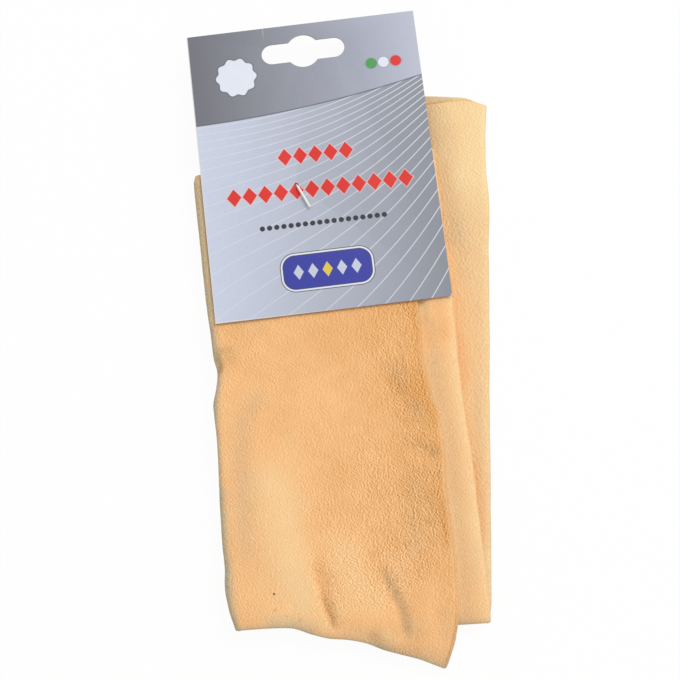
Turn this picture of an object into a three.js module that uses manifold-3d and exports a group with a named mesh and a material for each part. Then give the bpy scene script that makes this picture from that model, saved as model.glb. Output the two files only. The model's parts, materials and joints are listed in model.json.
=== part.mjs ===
// Chamois leather as it is sold: one skin folded into a flat bundle, a hanging card laid on its front,
// and a plastic tag pin through both. Millimetres, +Z up. The bundle lies on its back panel, the card's
// long side runs along Y, and the origin is under the middle of the whole part, on the surface it lies on.
import * as THREE from "three";
import { mergeVertices } from "three/addons/utils/BufferGeometryUtils.js";
import Module from "manifold-3d";

const wasm = await Module();
wasm.setup();

// Clearance between pieces that touch
const SEAT_GAP = 0.3;

// Hanging card, with a hang slot of the usual retail size
const CARD_WIDTH = 88;
const CARD_HEIGHT = 115;
const CARD_THICKNESS = 0.5;
const SLOT_LENGTH = 32;
const SLOT_HEIGHT = 8;
const SLOT_EYE_DIAMETER = 13.2;
const SLOT_DROP = 11.2; // from the card's top edge to the slot's axis

// Tag pin: a cross bar in front of the card, a filament through card and skin, and a paddle behind
const PIN_FROM_CARD_LEFT = 35.6;
const PIN_FROM_CARD_TOP = 65;
const FILAMENT_DIAMETER = 0.55;
const NEEDLE_CLEARANCE = 0.5; // between the filament and the hole that the needle left
const BAR_LENGTH = 9.6;
const BAR_DIAMETER = 0.95;
const BAR_CHAMFER = 0.12;
const BAR_SETBACK = 0.9; // from the hole's axis to the near end of the bar
const BAR_DIRECTION = THREE.MathUtils.degToRad(-67); // from the hole, seen from the front
const PADDLE_LENGTH = 10;
const PADDLE_WIDTH = 3.6;
const PADDLE_THICKNESS = 0.8;
const PADDLE_ABOVE_SURFACE = 0.1;

// Skin: folded in half along its bottom edge, then pleated into panels, counted from the front
const PLY_THICKNESS = 0.7;
const PLY_GAP = 0.3; // between the two plies of one panel
const PANEL_GAP = 0.35; // between neighbouring panels

// The skin's raw edges and folds in order, front to back. Each runs from one sideways place at the top of
// the bundle to another at its bottom, and ends at its own heights. All are measured from the pin.
const FRONT_RAW_EDGE = { atTop: 40.4, atBottom: 38.9, topEnd: 9.5, bottomEnd: -162.5 };
const LEFT_FOLD = { atTop: -38.4, atBottom: -41.6, topEnd: 9.1, bottomEnd: -161.8 };
const INNER_RIGHT_FOLD = { atTop: 53.4, atBottom: 51.8, topEnd: 9.7, bottomEnd: -168.1 };
const INNER_LEFT_FOLD = { atTop: -32.6, atBottom: -38.1, topEnd: 30.5, bottomEnd: -160.5 };
const OUTER_RIGHT_FOLD = { atTop: 76.9, atBottom: 49.9, topEnd: 27, bottomEnd: -168.1 };
const BACK_RAW_EDGE = { atTop: -29.6, atBottom: -35.6, topEnd: 43.5, bottomEnd: -160.5 };

// The front panel's free corner hangs below the other panels and turns inwards
const CORNER_DROP = 20.5;
const CORNER_START = -20.3; // sideways place, from the pin, where the bottom edge begins to drop
const CORNER_TURN = 15; // height of the turned stretch
const CORNER_INSET = 7;

// The pin draws the back of the bundle in, so that its paddle lies clear of the surface underneath
const TUCK_MARGIN = 2; // flat space beyond the paddle's ends
const TUCK_RUN_OUT = 18;

const EDGES = [
  FRONT_RAW_EDGE,
  LEFT_FOLD,
  INNER_RIGHT_FOLD,
  INNER_LEFT_FOLD,
  OUTER_RIGHT_FOLD,
  BACK_RAW_EDGE,
];
const panelCount = EDGES.length - 1;
const panelThickness = 2 * PLY_THICKNESS + PLY_GAP;
const pitch = panelThickness + PANEL_GAP;
const stackHeight = panelThickness + (panelCount - 1) * pitch;
const noseRadius = (pitch + panelThickness) / 2;
const skinTop = Math.max(...EDGES.map((edge) => edge.topEnd));
const skinBottom = FRONT_RAW_EDGE.bottomEnd - CORNER_DROP;
const cornerTip = FRONT_RAW_EDGE.atBottom - CORNER_INSET;
const tuckDepth = PADDLE_ABOVE_SURFACE + PADDLE_THICKNESS + SEAT_GAP;
const tuckReach = PADDLE_LENGTH / 2 + TUCK_MARGIN;
const needleHoleRadius = FILAMENT_DIAMETER / 2 + NEEDLE_CLEARANCE;
const cardBackZ = stackHeight + SEAT_GAP;
const cardFrontZ = cardBackZ + CARD_THICKNESS;

// Mesh density
const ROUND_SEGMENTS = 10;
const FILAMENT_STEPS = 26;
const BEND_STEPS = 3;
const LOWER_ROW_SHARE = 0.92; // of the way from the pin to the bottom fold
const TOP_ROW_MARGIN = 1; // least height between the two rows at the top

// Booleans

function toSolid(geometry) {
  const bare = geometry.clone().deleteAttribute("normal").deleteAttribute("uv");
  const merged = mergeVertices(bare, 1e-4);
  const triVerts = new Uint32Array(merged.index.array);
  const vertProperties = merged.attributes.position.array;
  return new wasm.Manifold(new wasm.Mesh({ numProp: 3, vertProperties, triVerts }));
}

function toGeometry(solid) {
  const { vertProperties, triVerts } = solid.getMesh();
  const geometry = new THREE.BufferGeometry();
  geometry.setAttribute("position", new THREE.BufferAttribute(vertProperties, 3));
  geometry.setIndex(new THREE.BufferAttribute(triVerts, 1));
  geometry.computeVertexNormals();
  return geometry;
}

// Skin, with the pin's axis at its origin

const { clamp, lerp, smoothstep } = THREE.MathUtils;

// Sideways place of an edge or fold at a height y
function edgeX(edge, y) {
  const x = lerp(edge.atTop, edge.atBottom, (skinTop - y) / (skinTop - skinBottom));
  if (edge !== FRONT_RAW_EDGE) return x;
  return x - CORNER_INSET * smoothstep(skinBottom + CORNER_TURN - y, 0, CORNER_TURN);
}

// Extra length of the front panel below its own bottom end, growing towards the free corner
function cornerDrop(x) {
  return CORNER_DROP * clamp((x - CORNER_START) / (cornerTip - CORNER_START), 0, 1);
}

// Rise of the skin's back round the pin
function tuck(x, y) {
  const away = Math.max(Math.abs(x), Math.abs(y)) - tuckReach;
  return tuckDepth * (1 - clamp(away / TUCK_RUN_OUT, 0, 1));
}

// A station is one section across the skin: its ends, and where it stands at a height and an offset from
// the middle of its panel

function panelStation(panel, share, xAt) {
  const [from, to] = [EDGES[panel], EDGES[panel + 1]];
  const middle = panelThickness / 2 + (panelCount - 1 - panel) * pitch;
  const up = panel % 2 === 0 ? 1 : -1;
  const drop = panel === 0 ? cornerDrop(xAt(skinBottom)) : 0;
  return {
    topEnd: lerp(from.topEnd, to.topEnd, share),
    bottomEnd: lerp(from.bottomEnd, to.bottomEnd, share) - drop,
    place: (y, offset) => [xAt(y), middle + up * offset],
  };
}

function bendStation(panel, angle) {
  const edge = EDGES[panel + 1];
  const side = panel % 2 === 0 ? -1 : 1;
  const centreZ = panelThickness / 2 + (panelCount - 1.5 - panel) * pitch;
  const place = (y, offset) => {
    const radius = pitch / 2 - side * offset;
    const centreX = edgeX(edge, y) - side * noseRadius;
    return [centreX + side * radius * Math.sin(angle), centreZ + radius * Math.cos(angle)];
  };
  return { topEnd: edge.topEnd, bottomEnd: edge.bottomEnd, place };
}

// Every station from the front raw edge to the back one, round each fold on the way
function skinStations() {
  const columns = [tuckReach + TUCK_RUN_OUT, tuckReach, -tuckReach];
  const stations = [];
  for (let panel = 0; panel < panelCount; panel += 1) {
    const [from, to] = [EDGES[panel], EDGES[panel + 1]];
    const side = panel % 2 === 0 ? 1 : -1;
    const fromInset = panel === 0 ? 0 : side * noseRadius;
    const toInset = panel === panelCount - 1 ? 0 : side * noseRadius;
    const middleColumns = panel === 0 ? [...columns, CORNER_START] : columns;
    stations.push(panelStation(panel, 0, (y) => edgeX(from, y) - fromInset));
    for (const x of side > 0 ? middleColumns : [...middleColumns].reverse()) {
      const share = (x - from.atBottom) / (to.atBottom - from.atBottom);
      stations.push(panelStation(panel, share, () => x));
    }
    stations.push(panelStation(panel, 1, (y) => edgeX(to, y) + toInset));
    if (panel === panelCount - 1) break;
    for (let step = 1; step < BEND_STEPS; step += 1) {
      stations.push(bendStation(panel, (Math.PI * step) / BEND_STEPS));
    }
  }
  return stations;
}

// A hairpin as [height, offset] pairs: down the front ply, round the bottom fold and up the back ply
function hairpin({ topEnd, bottomEnd }, radius) {
  const centre = bottomEnd + panelThickness / 2;
  const rows = [
    topEnd,
    Math.min(tuckReach, topEnd - TOP_ROW_MARGIN),
    -tuckReach,
    -tuckReach - TUCK_RUN_OUT,
    centre * LOWER_ROW_SHARE,
    centre,
  ];
  const bend = [];
  for (let step = 1; step < BEND_STEPS; step += 1) {
    const angle = (Math.PI * step) / BEND_STEPS;
    bend.push([centre - radius * Math.sin(angle), radius * Math.cos(angle)]);
  }
  const front = rows.map((y) => [y, radius]);
  const back = rows.map((y) => [y, -radius]).reverse();
  return [...front, ...bend, ...back];
}

function makeSkin() {
  const rings = skinStations().map((station) => {
    const outside = hairpin(station, panelThickness / 2);
    const inside = hairpin(station, PLY_GAP / 2);
    return [...outside, ...inside.reverse()].map(([y, offset]) => {
      const [x, z] = station.place(y, offset);
      return [x, y, z + tuck(x, y) * (1 - z / stackHeight)];
    });
  });
  const size = rings[0].length;
  const triangles = [];
  const quad = (a, b, c, d) => triangles.push(a, b, c, a, c, d);
  for (let ring = 0; ring + 1 < rings.length; ring += 1) {
    for (let k = 0; k < size; k += 1) {
      const next = (k + 1) % size;
      quad(ring * size + k, (ring + 1) * size + k, (ring + 1) * size + next, ring * size + next);
    }
  }
  const last = (rings.length - 1) * size;
  for (let k = 0; k + 1 < size / 2; k += 1) {
    const across = size - 1 - k;
    quad(k, k + 1, across - 1, across);
    quad(last + k, last + across, last + across - 1, last + k + 1);
  }
  const sheet = new THREE.BufferGeometry();
  sheet.setAttribute("position", new THREE.Float32BufferAttribute(rings.flat(2), 3));
  sheet.setIndex(triangles);
  const radius = needleHoleRadius;
  const needle = new THREE.CylinderGeometry(radius, radius, 3 * stackHeight, ROUND_SEGMENTS);
  needle.rotateX(Math.PI / 2);
  return toGeometry(toSolid(sheet).subtract(toSolid(needle)));
}

// Hanging card, with the pin's axis at its origin

function hangSlot(x, y) {
  const lobe = SLOT_HEIGHT / 2;
  const eye = SLOT_EYE_DIAMETER / 2;
  const lobeReach = SLOT_LENGTH / 2 - lobe;
  const meet = Math.asin(lobe / eye);
  const slot = new THREE.Path();
  slot.absarc(x - lobeReach, y, lobe, Math.PI / 2, 1.5 * Math.PI);
  slot.absarc(x, y, eye, Math.PI + meet, 2 * Math.PI - meet);
  slot.absarc(x + lobeReach, y, lobe, 1.5 * Math.PI, 2.5 * Math.PI);
  slot.absarc(x, y, eye, meet, Math.PI - meet);
  slot.closePath();
  return slot;
}

function makeCard() {
  const left = -PIN_FROM_CARD_LEFT;
  const right = left + CARD_WIDTH;
  const top = PIN_FROM_CARD_TOP;
  const bottom = top - CARD_HEIGHT;
  const outline = new THREE.Shape();
  outline.moveTo(left, bottom);
  outline.lineTo(right, bottom);
  outline.lineTo(right, top);
  outline.lineTo(left, top);
  outline.closePath();
  const pierced = new THREE.Path();
  pierced.absarc(0, 0, needleHoleRadius, 0, 2 * Math.PI);
  outline.holes.push(hangSlot(left + CARD_WIDTH / 2, top - SLOT_DROP), pierced);
  const card = new THREE.ExtrudeGeometry(outline, {
    depth: CARD_THICKNESS,
    bevelEnabled: false,
    curveSegments: ROUND_SEGMENTS,
  });
  return card.translate(0, 0, cardBackZ);
}

// Tag pin, with its bar laid along +X

function makeBar(axisZ) {
  const radius = BAR_DIAMETER / 2;
  const profile = [
    new THREE.Vector2(0, 0),
    new THREE.Vector2(radius - BAR_CHAMFER, 0),
    new THREE.Vector2(radius, BAR_CHAMFER),
    new THREE.Vector2(radius, BAR_LENGTH - BAR_CHAMFER),
    new THREE.Vector2(radius - BAR_CHAMFER, BAR_LENGTH),
    new THREE.Vector2(0, BAR_LENGTH),
  ];
  const bar = new THREE.LatheGeometry(profile, ROUND_SEGMENTS);
  return bar.rotateZ(-Math.PI / 2).translate(BAR_SETBACK, 0, axisZ);
}

function makeFilament(axisZ, runZ) {
  const barMiddle = BAR_SETBACK + BAR_LENGTH / 2;
  const turn = FILAMENT_DIAMETER;
  const path = new THREE.CatmullRomCurve3([
    new THREE.Vector3(barMiddle, 0, axisZ),
    new THREE.Vector3(barMiddle - turn, 0, runZ),
    new THREE.Vector3(2 * turn, 0, runZ),
    new THREE.Vector3(0, 0, runZ - turn),
    new THREE.Vector3(0, 0, cardBackZ),
    new THREE.Vector3(0, 0, PADDLE_ABOVE_SURFACE + PADDLE_THICKNESS / 2),
  ]);
  const section = new THREE.Shape();
  section.absarc(0, 0, FILAMENT_DIAMETER / 2, 0, 2 * Math.PI);
  return new THREE.ExtrudeGeometry(section, {
    extrudePath: path,
    steps: FILAMENT_STEPS,
    curveSegments: ROUND_SEGMENTS - 2,
  });
}

function makePaddle() {
  const round = PADDLE_WIDTH / 2;
  const reach = PADDLE_LENGTH / 2 - round;
  const outline = new THREE.Shape();
  outline.absarc(reach, 0, round, -Math.PI / 2, Math.PI / 2);
  outline.absarc(-reach, 0, round, Math.PI / 2, 1.5 * Math.PI);
  outline.closePath();
  const paddle = new THREE.ExtrudeGeometry(outline, {
    depth: PADDLE_THICKNESS,
    bevelEnabled: false,
    curveSegments: ROUND_SEGMENTS,
  });
  return paddle.translate(0, 0, PADDLE_ABOVE_SURFACE);
}

function makePin() {
  const runZ = cardFrontZ + SEAT_GAP + FILAMENT_DIAMETER / 2;
  const axisZ = runZ + BAR_DIAMETER / 2;
  const pieces = [makeBar(axisZ), makeFilament(axisZ, runZ), makePaddle()];
  return toGeometry(pieces.map(toSolid).reduce((joined, piece) => joined.add(piece)));
}

// Assembly

function mesh(name, geometry, color, roughness) {
  const material = new THREE.MeshStandardMaterial({ color, roughness, metalness: 0 });
  const made = new THREE.Mesh(geometry, material);
  made.name = name;
  return made;
}

const skin = mesh("chamois_skin", makeSkin(), 0xf3bf82, 0.95);
const card = mesh("header_card", makeCard(), 0xbfc4d0, 0.45);
const pin = mesh("tag_pin", makePin(), 0xf4f3f0, 0.4);
pin.rotation.z = BAR_DIRECTION;

const bundle = new THREE.Group();
bundle.add(skin, card, pin);
const box = new THREE.Box3().setFromObject(bundle);
const centre = box.getCenter(new THREE.Vector3());
bundle.position.set(-centre.x, -centre.y, -box.min.z);

const part = new THREE.Group();
part.add(bundle);
export default part;
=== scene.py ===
"""Folded chamois leather with its hanging card and tag pin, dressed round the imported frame.

Lengths are millimetres from the pin's axis, on the surface that the bundle lies on, with +X to the card's
right, +Y towards its hang slot and +Z up. They become metres in the frame's axes when a mesh is made.
"""

import json
import logging
import math
from collections.abc import Callable, Mapping, Sequence
from dataclasses import dataclass
from enum import Enum
from typing import Any

import bmesh
import bpy
import numpy as np
from mathutils import Matrix, Vector


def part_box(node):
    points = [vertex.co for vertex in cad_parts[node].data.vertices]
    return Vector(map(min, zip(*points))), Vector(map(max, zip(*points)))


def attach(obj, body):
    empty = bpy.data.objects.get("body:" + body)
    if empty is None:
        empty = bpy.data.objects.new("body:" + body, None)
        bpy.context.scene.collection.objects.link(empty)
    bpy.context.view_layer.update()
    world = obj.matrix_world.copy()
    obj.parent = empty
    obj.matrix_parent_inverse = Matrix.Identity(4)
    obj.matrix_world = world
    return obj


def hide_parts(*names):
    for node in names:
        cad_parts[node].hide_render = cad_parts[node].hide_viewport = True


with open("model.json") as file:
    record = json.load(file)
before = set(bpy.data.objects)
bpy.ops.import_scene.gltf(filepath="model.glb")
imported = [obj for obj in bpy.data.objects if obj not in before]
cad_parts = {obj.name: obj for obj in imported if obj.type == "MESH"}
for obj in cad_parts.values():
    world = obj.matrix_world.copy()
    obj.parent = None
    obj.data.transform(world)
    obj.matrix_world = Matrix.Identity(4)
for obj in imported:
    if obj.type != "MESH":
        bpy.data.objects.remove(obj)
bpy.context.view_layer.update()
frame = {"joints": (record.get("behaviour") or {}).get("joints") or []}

log = logging.getLogger("chamois")

MM = 0.001
TINY = 1e-9
PIN_AXIS = np.array([*frame["joints"][0]["pos_m"][:2], 0.0]) / MM

# Sockets that a Mix node uses for colours
MIX_LOW = 6
MIX_HIGH = 7
MIX_RESULT = 2

Knots = Sequence[tuple[float, float]]


class Motif(Enum):
    """Shapes of which a printed row is made."""

    LOZENGE = "lozenge"
    DISC = "disc"


class Ply(Enum):
    """The two layers of a panel, by the sign of their offset from its middle."""

    FRONT = 1
    BACK = -1


# Curves and fields


def through(knots: Knots, at: np.ndarray) -> np.ndarray:
    """Reads the smooth curve through some knots, which never swings past them.

    Args:
        knots: Place and value of each knot, in any order.
        at: Places to read. Beyond the last knots the curve stays level.

    Returns:
        The curve's value at each place.
    """
    place, value = np.array(sorted(knots)).T
    rise = np.diff(value) / np.diff(place)
    agree = np.maximum(rise[:-1] * rise[1:], 0)
    inner = 2 * agree / np.where(agree > 0, rise[:-1] + rise[1:], 1)
    slope = np.concatenate([rise[:1], inner, rise[-1:]])
    at = np.clip(at, place[0], place[-1])
    k = np.clip(np.searchsorted(place, at, side="right") - 1, 0, len(place) - 2)
    step = place[k + 1] - place[k]
    t = (at - place[k]) / step
    start = (1 + 2 * t) * (1 - t) ** 2 * value[k] + t * (1 - t) ** 2 * step * slope[k]
    end = t**2 * (3 - 2 * t) * value[k + 1] + t**2 * (t - 1) * step * slope[k + 1]
    return start + end


def smooth(low: float, high: float, at: np.ndarray) -> np.ndarray:
    """Smooth step from 0 at low to 1 at high."""
    t = np.clip((at - low) / (high - low), 0, 1)
    return t * t * (3 - 2 * t)


@dataclass(frozen=True)
class Wave:
    """An irregular wave of height about 1: its seed, its longest part and the parts that it is the sum of.

    Each part is shorter and lower than the one before it.
    """

    seed: int
    longest: float
    parts: int = 6
    shorter: float = 0.62
    lower: float = 0.72
    spread: tuple[float, float] = (0.85, 1.15)
    full_height: float = 1.8

    def at(self, places: np.ndarray) -> np.ndarray:
        """Reads the wave.

        Args:
            places: Places along the wave.

        Returns:
            The wave's value at each place.
        """
        draw = np.random.default_rng(self.seed)
        total = np.zeros_like(places)
        for part in range(self.parts):
            length = self.longest * self.shorter**part * draw.uniform(*self.spread)
            total += self.lower**part * np.sin(2 * np.pi * (places / length + draw.uniform()))
        return total / self.full_height


@dataclass(frozen=True)
class Stroke:
    """A soft stroke on the skin: full strength along its path, fading over its width.

    With a panel, the stroke lies on that panel alone. A lean makes it fade more slowly on the left of its
    path and faster on the right, as seen on the way along. With a lead, it comes up to full strength over
    that share of its path.
    """

    path: Knots
    width: float
    amount: float
    panel: int | None = None
    lean: float = 0.0
    lead: float = 0.0

    def over(self, x: np.ndarray, y: np.ndarray, panels: np.ndarray) -> np.ndarray:
        """Reads the stroke.

        Args:
            x: Sideways places.
            y: Heights.
            panels: Panel of each place.

        Returns:
            The stroke's strength at each place.
        """
        points = np.array(self.path, float)
        lengths = np.hypot(*np.diff(points, axis=0).T)
        passed = np.concatenate([[0], np.cumsum(lengths)]) / lengths.sum()
        nearest = np.full(np.shape(x), np.inf)
        width = np.full(np.shape(x), self.width)
        progress = np.zeros(np.shape(x))
        for start, end, before, after in zip(points, points[1:], passed, passed[1:]):
            along = end - start
            dx, dy = x - start[0], y - start[1]
            t = np.clip((dx * along[0] + dy * along[1]) / (along @ along), 0, 1)
            away = np.hypot(dx - t * along[0], dy - t * along[1])
            left = np.sign(along[0] * dy - along[1] * dx)
            closer = away < nearest
            width = np.where(closer, self.width * (1 + self.lean * left), width)
            progress = np.where(closer, before + t * (after - before), progress)
            nearest = np.minimum(nearest, away)
        strength = self.amount * np.exp(-((nearest / width) ** 2))
        if self.lead:
            strength = strength * smooth(0, self.lead, progress)
        return strength if self.panel is None else np.where(panels == self.panel, strength, 0)


def strokes_over(
    strokes: Sequence[Stroke], x: np.ndarray, y: np.ndarray, panels: np.ndarray
) -> np.ndarray:
    """Adds up some strokes at places of the skin."""
    return sum((stroke.over(x, y, panels) for stroke in strokes), np.zeros(np.shape(x)))


# Meshes


def linear(colour: str) -> tuple[float, float, float, float]:
    """Turns a colour, as a screen shows it, into Blender's linear colour.

    Args:
        colour: Six hexadecimal digits.

    Returns:
        Red, green, blue and full alpha.
    """
    shown = [int(colour[k : k + 2], 16) / 255 for k in (0, 2, 4)]
    parts = [c / 12.92 if c <= 0.04045 else ((c + 0.055) / 1.055) ** 2.4 for c in shown]
    return (*parts, 1.0)


def add_object(name: str, data: bpy.types.ID) -> bpy.types.Object:
    """Makes an object of some data.

    Args:
        name: The object's name.
        data: Its mesh, curve, camera or light.

    Returns:
        The object, linked to the scene.
    """
    made = bpy.data.objects.new(name, data)
    bpy.context.scene.collection.objects.link(made)
    return made


def add_mesh(name: str, points: np.ndarray, faces: Sequence[Sequence[int]]) -> bpy.types.Object:
    """Makes an object from points and faces.

    Args:
        name: The object's name.
        points: Points from the pin's axis, in millimetres.
        faces: Point numbers of each face.

    Returns:
        The object, linked to the scene, with its mesh in the frame's metres.
    """
    mesh = bpy.data.meshes.new(name)
    mesh.from_pydata(((points + PIN_AXIS) * MM).tolist(), [], faces)
    mesh.update()
    return add_object(name, mesh)


def evaluated(made: bpy.types.Object) -> bpy.types.Mesh:
    """The mesh that an object has after its modifiers, or that a curve makes."""
    return bpy.data.meshes.new_from_object(made.evaluated_get(bpy.context.evaluated_depsgraph_get()))


def loft(name: str, rings: Sequence[np.ndarray]) -> bpy.types.Object:
    """Makes a closed object through rings of equal size, with a flat cap at each end.

    Args:
        name: The object's name.
        rings: Points of each ring, in order.

    Returns:
        The object.
    """
    size = len(rings[0])
    faces = [list(range(size))[::-1], [(len(rings) - 1) * size + k for k in range(size)]]
    for ring in range(len(rings) - 1):
        for k in range(size):
            here, there = ring * size + k, ring * size + (k + 1) % size
            faces.append([here, there, there + size, here + size])
    return add_mesh(name, np.concatenate(rings), faces)


def fuse(target: bpy.types.Object, joined: bpy.types.Object) -> None:
    """Joins a closed object to another and removes it.

    Args:
        target: The object that stays.
        joined: The object that is used up.
    """
    modifier = target.modifiers.new("fuse", "BOOLEAN")
    modifier.operation = "UNION"
    modifier.solver = "EXACT"
    modifier.object = joined
    target.data = evaluated(target)
    target.modifiers.clear()
    bpy.data.objects.remove(joined)


def soften(piece: bpy.types.Object, sharp_above: float) -> None:
    """Shades a piece smooth, apart from edges sharper than an angle in degrees."""
    piece.data.shade_smooth()
    piece.data.set_sharp_from_angle(angle=math.radians(sharp_above))


def store(piece: bpy.types.Object, name: str, values: np.ndarray) -> None:
    """Stores a value on each point of a piece for its finish to read."""
    attribute = piece.data.attributes.new(name, "FLOAT", "POINT")
    attribute.data.foreach_set("value", values.astype(np.float32))


def dress(piece: bpy.types.Object, finish: bpy.types.Material, body: str, node: str) -> None:
    """Gives a piece its finish and its place in the frame.

    Args:
        piece: The finished piece.
        finish: Its material.
        body: The body that it moves with.
        node: The node that it stands for.
    """
    piece.data.materials.clear()
    piece.data.materials.append(finish)
    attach(piece, body)
    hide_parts(node)


# Shader maths


def operator(operation: str, reflected: bool = False) -> Callable[["Wire", "Value"], "Wire"]:
    """Makes a Python operator that adds a Math node.

    Args:
        operation: What the node does.
        reflected: Whether the wire is the second of the two values.

    Returns:
        The operator, as a method of a wire.
    """

    def apply(wire: "Wire", other: "Value") -> "Wire":
        """Adds the Math node."""
        return wire.bench.math(operation, *((other, wire) if reflected else (wire, other)))

    return apply


class Wire:
    """A value in a node tree, used in Python expressions. With |, the larger of two masks counts."""

    def __init__(self, bench: "Bench", socket: bpy.types.NodeSocket | None) -> None:
        """Wraps an output socket of a bench's tree."""
        self.bench = bench
        self.socket = socket

    def __abs__(self) -> "Wire":
        """Adds a Math node."""
        return self.bench.math("ABSOLUTE", self)

    __add__ = __radd__ = operator("ADD")
    __sub__ = operator("SUBTRACT")
    __rsub__ = operator("SUBTRACT", reflected=True)
    __mul__ = __rmul__ = operator("MULTIPLY")
    __truediv__ = operator("DIVIDE")
    __rtruediv__ = operator("DIVIDE", reflected=True)
    __pow__ = operator("POWER")
    __or__ = operator("MAXIMUM")


Value = Wire | float


class Bench:
    """A node tree under construction."""

    def __init__(self, tree: bpy.types.NodeTree) -> None:
        """Starts with an empty tree."""
        self.tree = tree
        tree.nodes.clear()

    @classmethod
    def for_material(cls, name: str) -> tuple["Bench", bpy.types.Material]:
        """Makes a material.

        Args:
            name: The material's name.

        Returns:
            The bench for its tree, and the material.
        """
        material = bpy.data.materials.new(name)
        material.use_nodes = True
        return cls(material.node_tree), material

    def add(
        self,
        kind: str,
        settings: Mapping[str, Any],
        inputs: Mapping[str | int, Any],
        output: str | int = 0,
    ) -> Wire:
        """Adds a node.

        Args:
            kind: The node's type.
            settings: Its own settings, which are set first.
            inputs: A wire, number or colour for each socket that isn't left as it is.
            output: The output that is wanted.

        Returns:
            That output.
        """
        node = self.tree.nodes.new(kind)
        for name, setting in settings.items():
            setattr(node, name, setting)
        for key, value in inputs.items():
            if isinstance(value, Wire):
                self.tree.links.new(value.socket, node.inputs[key])
            else:
                node.inputs[key].default_value = linear(value) if isinstance(value, str) else value
        return Wire(self, node.outputs[output]) if node.outputs else Wire(self, None)

    def math(self, operation: str, *values: Value) -> Wire:
        """Adds a Math node on one to three values."""
        return self.add("ShaderNodeMath", {"operation": operation}, dict(enumerate(values)))

    def step(self, value: Wire, low: float, high: float) -> Wire:
        """Adds a smooth step.

        Args:
            value: What is compared with the limits.
            low: Where the step is 0.
            high: Where the step is 1, above or below low.

        Returns:
            The step, from 0 to 1.
        """
        rising = {"Value": value, "From Min": min(low, high), "From Max": max(low, high)}
        ends = {"To Min": 0.0 if low < high else 1.0, "To Max": 1.0 if low < high else 0.0}
        return self.add("ShaderNodeMapRange", {"interpolation_type": "SMOOTHSTEP"}, {**rising, **ends})

    def mix(self, share: Value, low: Wire | str, high: Wire | str) -> Wire:
        """Mixes two colours."""
        values = {0: share, MIX_LOW: low, MIX_HIGH: high}
        return self.add("ShaderNodeMix", {"data_type": "RGBA"}, values, MIX_RESULT)

    def scale(self, colour: Wire, by: Value) -> Wire:
        """Makes a colour lighter or darker."""
        return self.add("ShaderNodeVectorMath", {"operation": "SCALE"}, {0: colour, "Scale": by})

    def noise(self, place: Wire, size: float, detail: float = 0.0) -> Wire:
        """Noise with features of a size in millimetres, from 0 to 1 about 0.5."""
        values = {"Vector": place, "Scale": 1 / (size * MM), "Detail": detail}
        return self.add("ShaderNodeTexNoise", {}, values)

    def place(self) -> Wire:
        """The piece's own coordinates, in metres."""
        return self.add("ShaderNodeTexCoord", {}, {}, "Object")

    def axes(self, place: Wire, origin: Sequence[float]) -> tuple[Wire, Wire, Wire]:
        """Splits a place.

        Args:
            place: The place, in metres.
            origin: What is measured from, in millimetres.

        Returns:
            Millimetres from the origin along X, Y and Z.
        """
        names = ("X", "Y", "Z")
        parts = [self.add("ShaderNodeSeparateXYZ", {}, {"Vector": place}, name) for name in names]
        return tuple(part / MM - start for part, start in zip(parts, origin))

    def attribute(self, name: str) -> Wire:
        """A value stored on the mesh's points."""
        return self.add("ShaderNodeAttribute", {"attribute_name": name}, {}, "Fac")

    def bump(self, height: Wire, distance: float) -> Wire:
        """A bumped normal from a height of 0 to 1 that stands for a distance in millimetres."""
        return self.add("ShaderNodeBump", {}, {"Height": height, "Distance": distance * MM}, "Normal")

    def surface(self, inputs: Mapping[str, Any]) -> None:
        """Ends the tree in a Principled shader."""
        self.end(self.add("ShaderNodeBsdfPrincipled", {}, inputs))

    def end(self, shader: Wire, kind: str = "ShaderNodeOutputMaterial") -> None:
        """Ends the tree in a shader."""
        self.add(kind, {}, {"Surface": shader})


# Finishes


@dataclass(frozen=True)
class Mottle:
    """Noise of a size in millimetres and some detail, which counts by a share."""

    size: float
    detail: float
    share: float

    def over(self, place: Wire) -> Wire:
        """The noise about 0, times its share."""
        return self.share * (place.bench.noise(place, self.size, self.detail) - 0.5)


@dataclass(frozen=True)
class Blemish:
    """A small round mark on the front of the skin: its middle, radius, colour and strength."""

    middle: tuple[float, float]
    radius: float
    colour: str
    strength: float


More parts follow.
